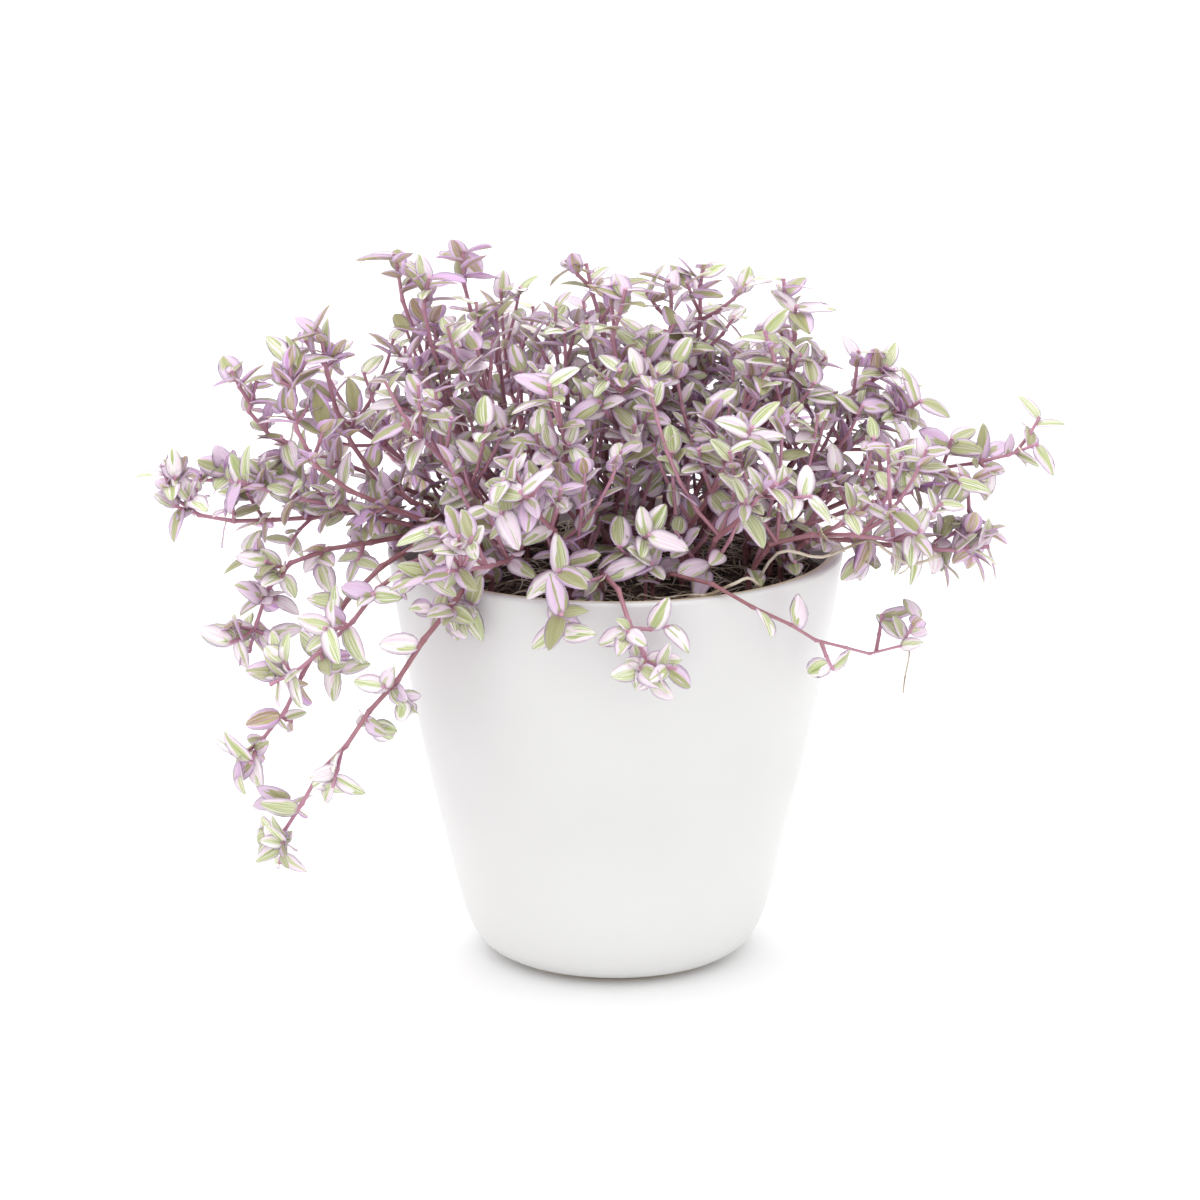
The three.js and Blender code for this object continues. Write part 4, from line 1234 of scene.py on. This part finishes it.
# the first layer whitens the lower wall: painted light, not the glaze's own colour
for share, over in ((painted_light_to_foot, "#dededd"), (lip_line, "#d2c0a0"), (bare_foot, clay)):
    white = add("Mix", {0: share, 6: white, 7: over}, **COLOUR)
satin = add("MapRange", {0: smudge, 1: 0.3, 2: 0.7, 3: 0.32, 4: 0.4}, **SOFT)
rough = add("Math", {0: bare_foot, 1: 0.5, 2: satin}, operation="MULTIPLY_ADD")
uneven = add("Math", {0: peel, 1: 0.02, 2: waves}, operation="MULTIPLY_ADD")
bump = add("Bump", {"Height": uneven, "Strength": 0.3, "Distance": 0.4 * MM})
connect(skin, {"Base Color": white, "Roughness": rough, "Normal": bump})
pot.data.materials.append(glaze)

# %% [markdown]
# ## Soil
#
# Potting soil is a loose mix of peat, bark crumbs and old roots, almost black where it is damp. A domed
# top with small hills carries crumbs of a few sizes, and thin dry roots lie over them.

# %% Soil material
soil_dark, add, skin = new_material("potting_soil_peat")
place = add("TexCoord").outputs["Object"]
clods = add("TexNoise", {"Vector": place, "Scale": 260.0, "Detail": 6.0})
grit = add("TexVoronoi", {"Vector": place, "Scale": 520.0})
earth = add("ValToRGB", {"Fac": clods})
set_ramp(earth, {0.3: "#1c1512", 0.5: "#3a2e27", 0.75: "#6f5a4a"})
rough = add("MapRange", {0: clods, 1: 0.3, 2: 0.7, 3: 0.85, 4: 0.98})
lumps = add("Math", {0: grit, 1: 0.6, 2: clods}, operation="MULTIPLY_ADD")
bump = add("Bump", {"Height": lumps, "Strength": 0.9, "Distance": 1.2 * MM})
connect(skin, {"Base Color": earth, "Roughness": rough, "Normal": bump})

# %% Soil body
SOIL_GAP = 0.3
SOIL_RINGS = 34
SOIL_SIDES = 120
SOIL_HILLS = 1.3
SOIL_HILL_WIDTH = 7.0


def soil_lift(x, y, height):
    """Small hills on the top of the soil, and none below it."""
    if height < SOIL_EDGE_HEIGHT - 1:
        return 0
    spot = Vector((x / SOIL_HILL_WIDTH, y / SOIL_HILL_WIDTH, 0.5))
    return SOIL_HILLS * noise.noise(spot) + 0.5 * SOIL_HILLS * noise.noise(spot * 2.7)


edge_share = (SOIL_EDGE_HEIGHT - CORNER_HEIGHT) / (POT_HEIGHT - CORNER_HEIGHT)
soil_edge, _ = wall_point(edge_share, WALL + SOIL_GAP)
soil_profile = [(0, FLOOR_HEIGHT + SOIL_GAP), (FLOOR_RADIUS - SOIL_GAP, FLOOR_HEIGHT + SOIL_GAP)]
soil_profile += [wall_point(share, WALL + SOIL_GAP) for share in (0, 0.3, 0.6, 0.8)]
radii = [soil_edge * (1 - ring / SOIL_RINGS) for ring in range(SOIL_RINGS + 1)]
soil_profile += [(radius, soil_top(radius)) for radius in radii]
soil = turned_mesh("soil_body", soil_profile, SOIL_SIDES, soil_lift)
soil.data.materials.append(soil_dark)
dress(soil, "soil", "soil")
print("soil:", len(soil.data.polygons), "faces")

# %% [markdown]
# ## Crumbs
#
# Peat and bark break into crumbs of 1 to 3 mm. Three lumpy shapes are scattered over the soil's top by a
# tree, each turned and sized by chance, with a fixed seed. Bump alone would leave the soil's edge flat.

# %% The tree for crumbs
crumb_tree, add, given, result = new_tree(
    "crumbs",
    {
        **{"Shapes": "Collection", "Density": "Float", "Smallest": "Float", "Largest": "Float"},
        **{"Seed": "Int", "Skin": "Material"},
    },
)
seed = {"Seed": given["Seed"]}
scattered = add("DistributePointsOnFaces", {"Mesh": given["Geometry"], "Density": given["Density"], **seed})
spins = {0: (0.0, 0.0, 0.0), 1: (FULL_TURN, FULL_TURN, FULL_TURN)}
spin = add("FunctionNodeRandomValue", {**spins, **seed}, data_type="FLOAT_VECTOR")
size = add("FunctionNodeRandomValue", {2: given["Smallest"], 3: given["Largest"], **seed})
lying = shapes_on(add, given, scattered, {"Rotation": spin, "Scale": size})
whole = add("RealizeInstances", {"Geometry": lying})
connect(result, {0: add("SetMaterial", {"Geometry": whole, "Material": given["Skin"]})})

# %% Crumbs
CRUMB_EDGE = 60.5
SURFACE_SIDES = 60
SURFACE_RINGS = 16


def crumb_shape(name, seed):
    """A lump of 80 faces and about 1 mm radius, flatter than it is wide."""
    mesh = bpy.data.meshes.new(name)
    lump = bmesh.new()
    bmesh.ops.create_icosphere(lump, subdivisions=2, radius=1)
    for vertex in lump.verts:
        push = 1 + 0.5 * noise.noise(vertex.co * 1.3 + Vector((seed * 7.1, 0, 0)))
        vertex.co = Vector((vertex.co.x, vertex.co.y * 0.8, vertex.co.z * 0.6)) * push * MM
    lump.to_mesh(mesh)
    lump.free()
    return bpy.data.objects.new(name, mesh)


def lying_height(x, y):
    top = soil_top(math.hypot(x, y))
    return top + soil_lift(x, y, top)


def soil_surface(radius):
    """The top of the soil out to a radius, as a start for what lies on it."""
    reaches = [radius * ring / SURFACE_RINGS for ring in range(1, SURFACE_RINGS + 1)]
    turns = [FULL_TURN * i / SURFACE_SIDES for i in range(SURFACE_SIDES)]
    corners = [(0.0, 0.0)] + [(r * math.cos(t), r * math.sin(t)) for r in reaches for t in turns]
    pairs = [(i, (i + 1) % SURFACE_SIDES) for i in range(SURFACE_SIDES)]
    faces = [(0, 1 + i, 1 + j) for i, j in pairs]
    for low in range(1, (SURFACE_RINGS - 1) * SURFACE_SIDES, SURFACE_SIDES):
        high = low + SURFACE_SIDES
        faces += [(low + i, high + i, high + j, low + j) for i, j in pairs]
    mesh = bpy.data.meshes.new("soil_surface")
    mesh.from_pydata([(x * MM, y * MM, lying_height(x, y) * MM) for x, y in corners], [], faces)
    return mesh


lumps = [crumb_shape(name, i + 1) for i, name in enumerate(("crumb_a", "crumb_b", "crumb_c"))]
crumb_shapes = collection_of("crumb_shapes", lumps)
inputs = {
    "Shapes": crumb_shapes,
    "Density": 150000.0,  # crumbs per square metre
    "Smallest": 0.45,
    "Largest": 1.5,
    "Seed": 11,
    "Skin": soil_dark,
}
crumbs = grow("soil_crumbs", soil_surface(CRUMB_EDGE), crumb_tree, inputs)
clear(crumb_shapes)
dress(crumbs, "soil", "soil")
print("crumbs:", len(crumbs.data.polygons), "faces")

# %% [markdown]
# ## Dry roots
#
# Thin dead roots lie in a loose tangle over the soil, as pale as straw, and a few climb over the rim. Each
# is a line that wanders and arches a little above the soil, turned into a tube by the tree that made the
# stems. The longest ones stand out in the photograph, so they are listed one by one.

# %% Dry root skin
dry_root, add, skin = new_material("dry_root_straw")
place = add("TexCoord").outputs["Object"]
# Bleached and browner stretches of a few millimetres, and a fine grain.
stretches = add("TexNoise", {"Vector": place, "Scale": 160.0, "Detail": 2.0})
pale_part = add("MapRange", {0: stretches, 1: 0.38, 2: 0.62}, **SOFT)
straw = add("Mix", {0: pale_part, 6: "#94836f", 7: "#cfc5b4"}, **COLOUR)
grain = add("TexNoise", {"Vector": place, "Scale": 1500.0})
rough = add("MapRange", {0: grain, 3: 0.7, 4: 0.9})
bump = add("Bump", {"Height": grain, "Strength": 0.4, "Distance": 0.1 * MM})
connect(skin, {"Base Color": straw, "Roughness": rough, "Normal": bump})

# %% Dry roots
ROOT_COUNT = 340
ROOT_THINGS = 9000  # the numbers of the wandering roots start here
ROOT_STEPS = 6
ROOT_STEP = (2.5, 5.5)
ROOT_ARCH = 3.0
ROOT_RADIUS = (0.1, 0.24)
ROOT_TURN = 1.3
TURN_BACK = math.pi * 0.6  # what a root adds to its turn where it would leave the soil
RUNNER_RADIUS = 0.5
RUNNERS = [
    [(14, -50, 121), (22, -58, 127.7), (28, -60, 129.5), (34.9, -56, 131.5), (40.3, -52, 131.9),
     (47, -44, 122)],
    [(40, -36, 121), (48.4, -40, 136.8), (61.6, -38, 135), (75.3, -36, 139.7), (80.8, -40, 137.4),
     (87.7, -44, 134.4), (96.3, -44, 137.2)],
]
ROOTLET_RADIUS = 0.28
ROOTLETS = [
    [(75.3, -36, 139.7), (75.5, -41, 137), (75, -44, 134.1)],
    [(87.7, -44, 134.4), (86, -44.5, 132.5), (84.2, -44, 131.4)],
    [(88, -36.5, 108), (88.2, -38, 104.4), (87.1, -38, 98.1), (86.6, -38, 92.8)],
    [(4, -50, 122), (7.3, -54, 127.5), (13.1, -60, 128.2), (24.9, -60, 129.2), (30, -55, 123)],
    [(-34, -48, 121), (-38, -54, 127), (-41.5, -56.5, 130.4), (-42, -57.5, 131.2), (-36, -53, 126),
     (-30, -50, 121)],
]


def wandering_root(thing):
    """A line that starts in the soil, wanders over it in low arches, and ends in it."""
    radius = (CRUMB_EDGE - 1) * chance(thing, 1) ** 0.5
    turn = FULL_TURN * chance(thing, 2)
    x, y = radius * math.cos(turn), radius * math.sin(turn)
    heading = FULL_TURN * chance(thing, 3)
    step = mix(ROOT_STEP, chance(thing, 4))
    arch = ROOT_ARCH * chance(thing, 5)
    line = []
    for k in range(ROOT_STEPS + 1):
        above = arch * math.sin(math.pi * k / ROOT_STEPS) + (0.4 if 0 < k < ROOT_STEPS else -0.6)
        line.append(np.array([x, y, lying_height(x, y) + above]))
        heading += ROOT_TURN * (chance(thing, 10 + k) - 0.5)
        if math.hypot(x + step * math.cos(heading), y + step * math.sin(heading)) > CRUMB_EDGE:
            heading += TURN_BACK
        x, y = x + step * math.cos(heading), y + step * math.sin(heading)
        if math.hypot(x, y) > CRUMB_EDGE:
            x, y = (n * CRUMB_EDGE / math.hypot(x, y) for n in (x, y))
    return line


things = range(ROOT_THINGS, ROOT_THINGS + ROOT_COUNT)
routes = [(wandering_root(thing), mix(ROOT_RADIUS, chance(thing, 6))) for thing in things]
routes += [(points, RUNNER_RADIUS) for points in RUNNERS] + [(points, ROOTLET_RADIUS) for points in ROOTLETS]
lines = [[(np.array(point), radius, 0.0) for point in points] for points, radius in routes]
inputs = {"Sides": 5, "Smoothing": 4, "Skin": dry_root}
roots = grow("dry_roots", start_mesh_of_lines(lines), stem_tree, inputs)
roots.data.shade_smooth()
dress(roots, "soil", "soil")
print("dry roots:", len(roots.data.polygons), "faces")

# %% [markdown]
# ## Floor and light
#
# The photograph was made on a white sweep under large soft lamps, so that almost no shadow shows. A wide
# white floor, an even white surround and one large lamp above give the same. The Standard view transform
# keeps white as white.

# %% Floor
bpy.ops.mesh.primitive_circle_add(vertices=96, radius=4.0, fill_type="NGON", location=(0, 0, -0.0002))
floor = bpy.context.object
floor.name = "floor"
paper, add, skin = new_material("white_paper_sweep")
place = add("TexCoord").outputs["Object"]
fibres = add("TexNoise", {"Vector": place, "Scale": 900.0, "Detail": 2.0})
sheet = add("Mix", {0: fibres, 6: "#fbfbfb", 7: "#f8f8f8"}, **COLOUR)
rough = add("MapRange", {0: fibres, 3: 0.85, 4: 0.95})
connect(skin, {"Base Color": sheet, "Roughness": rough})
floor.data.materials.append(paper)

# %% Light
SURROUND = 1.22
LAMP_POWER = 18.0
LAMP_SIZE = 1.8
LAMP_PLACE = Vector((-0.2, 0.25, 1.8))

world = bpy.data.worlds.new("studio")
world.use_nodes = True
world.node_tree.nodes["Background"].inputs["Color"].default_value = (1, 1, 1, 1)
world.node_tree.nodes["Background"].inputs["Strength"].default_value = SURROUND
bpy.context.scene.world = world
lamp = bpy.data.objects.new("softbox", bpy.data.lights.new("softbox", "AREA"))
lamp.data.size = LAMP_SIZE
lamp.data.energy = LAMP_POWER
lamp.location = LAMP_PLACE
lamp.rotation_euler = (Vector((0, 0, 0.12)) - LAMP_PLACE).to_track_quat("-Z", "Y").to_euler()
bpy.context.scene.collection.objects.link(lamp)
bpy.context.scene.view_settings.view_transform = "Standard"
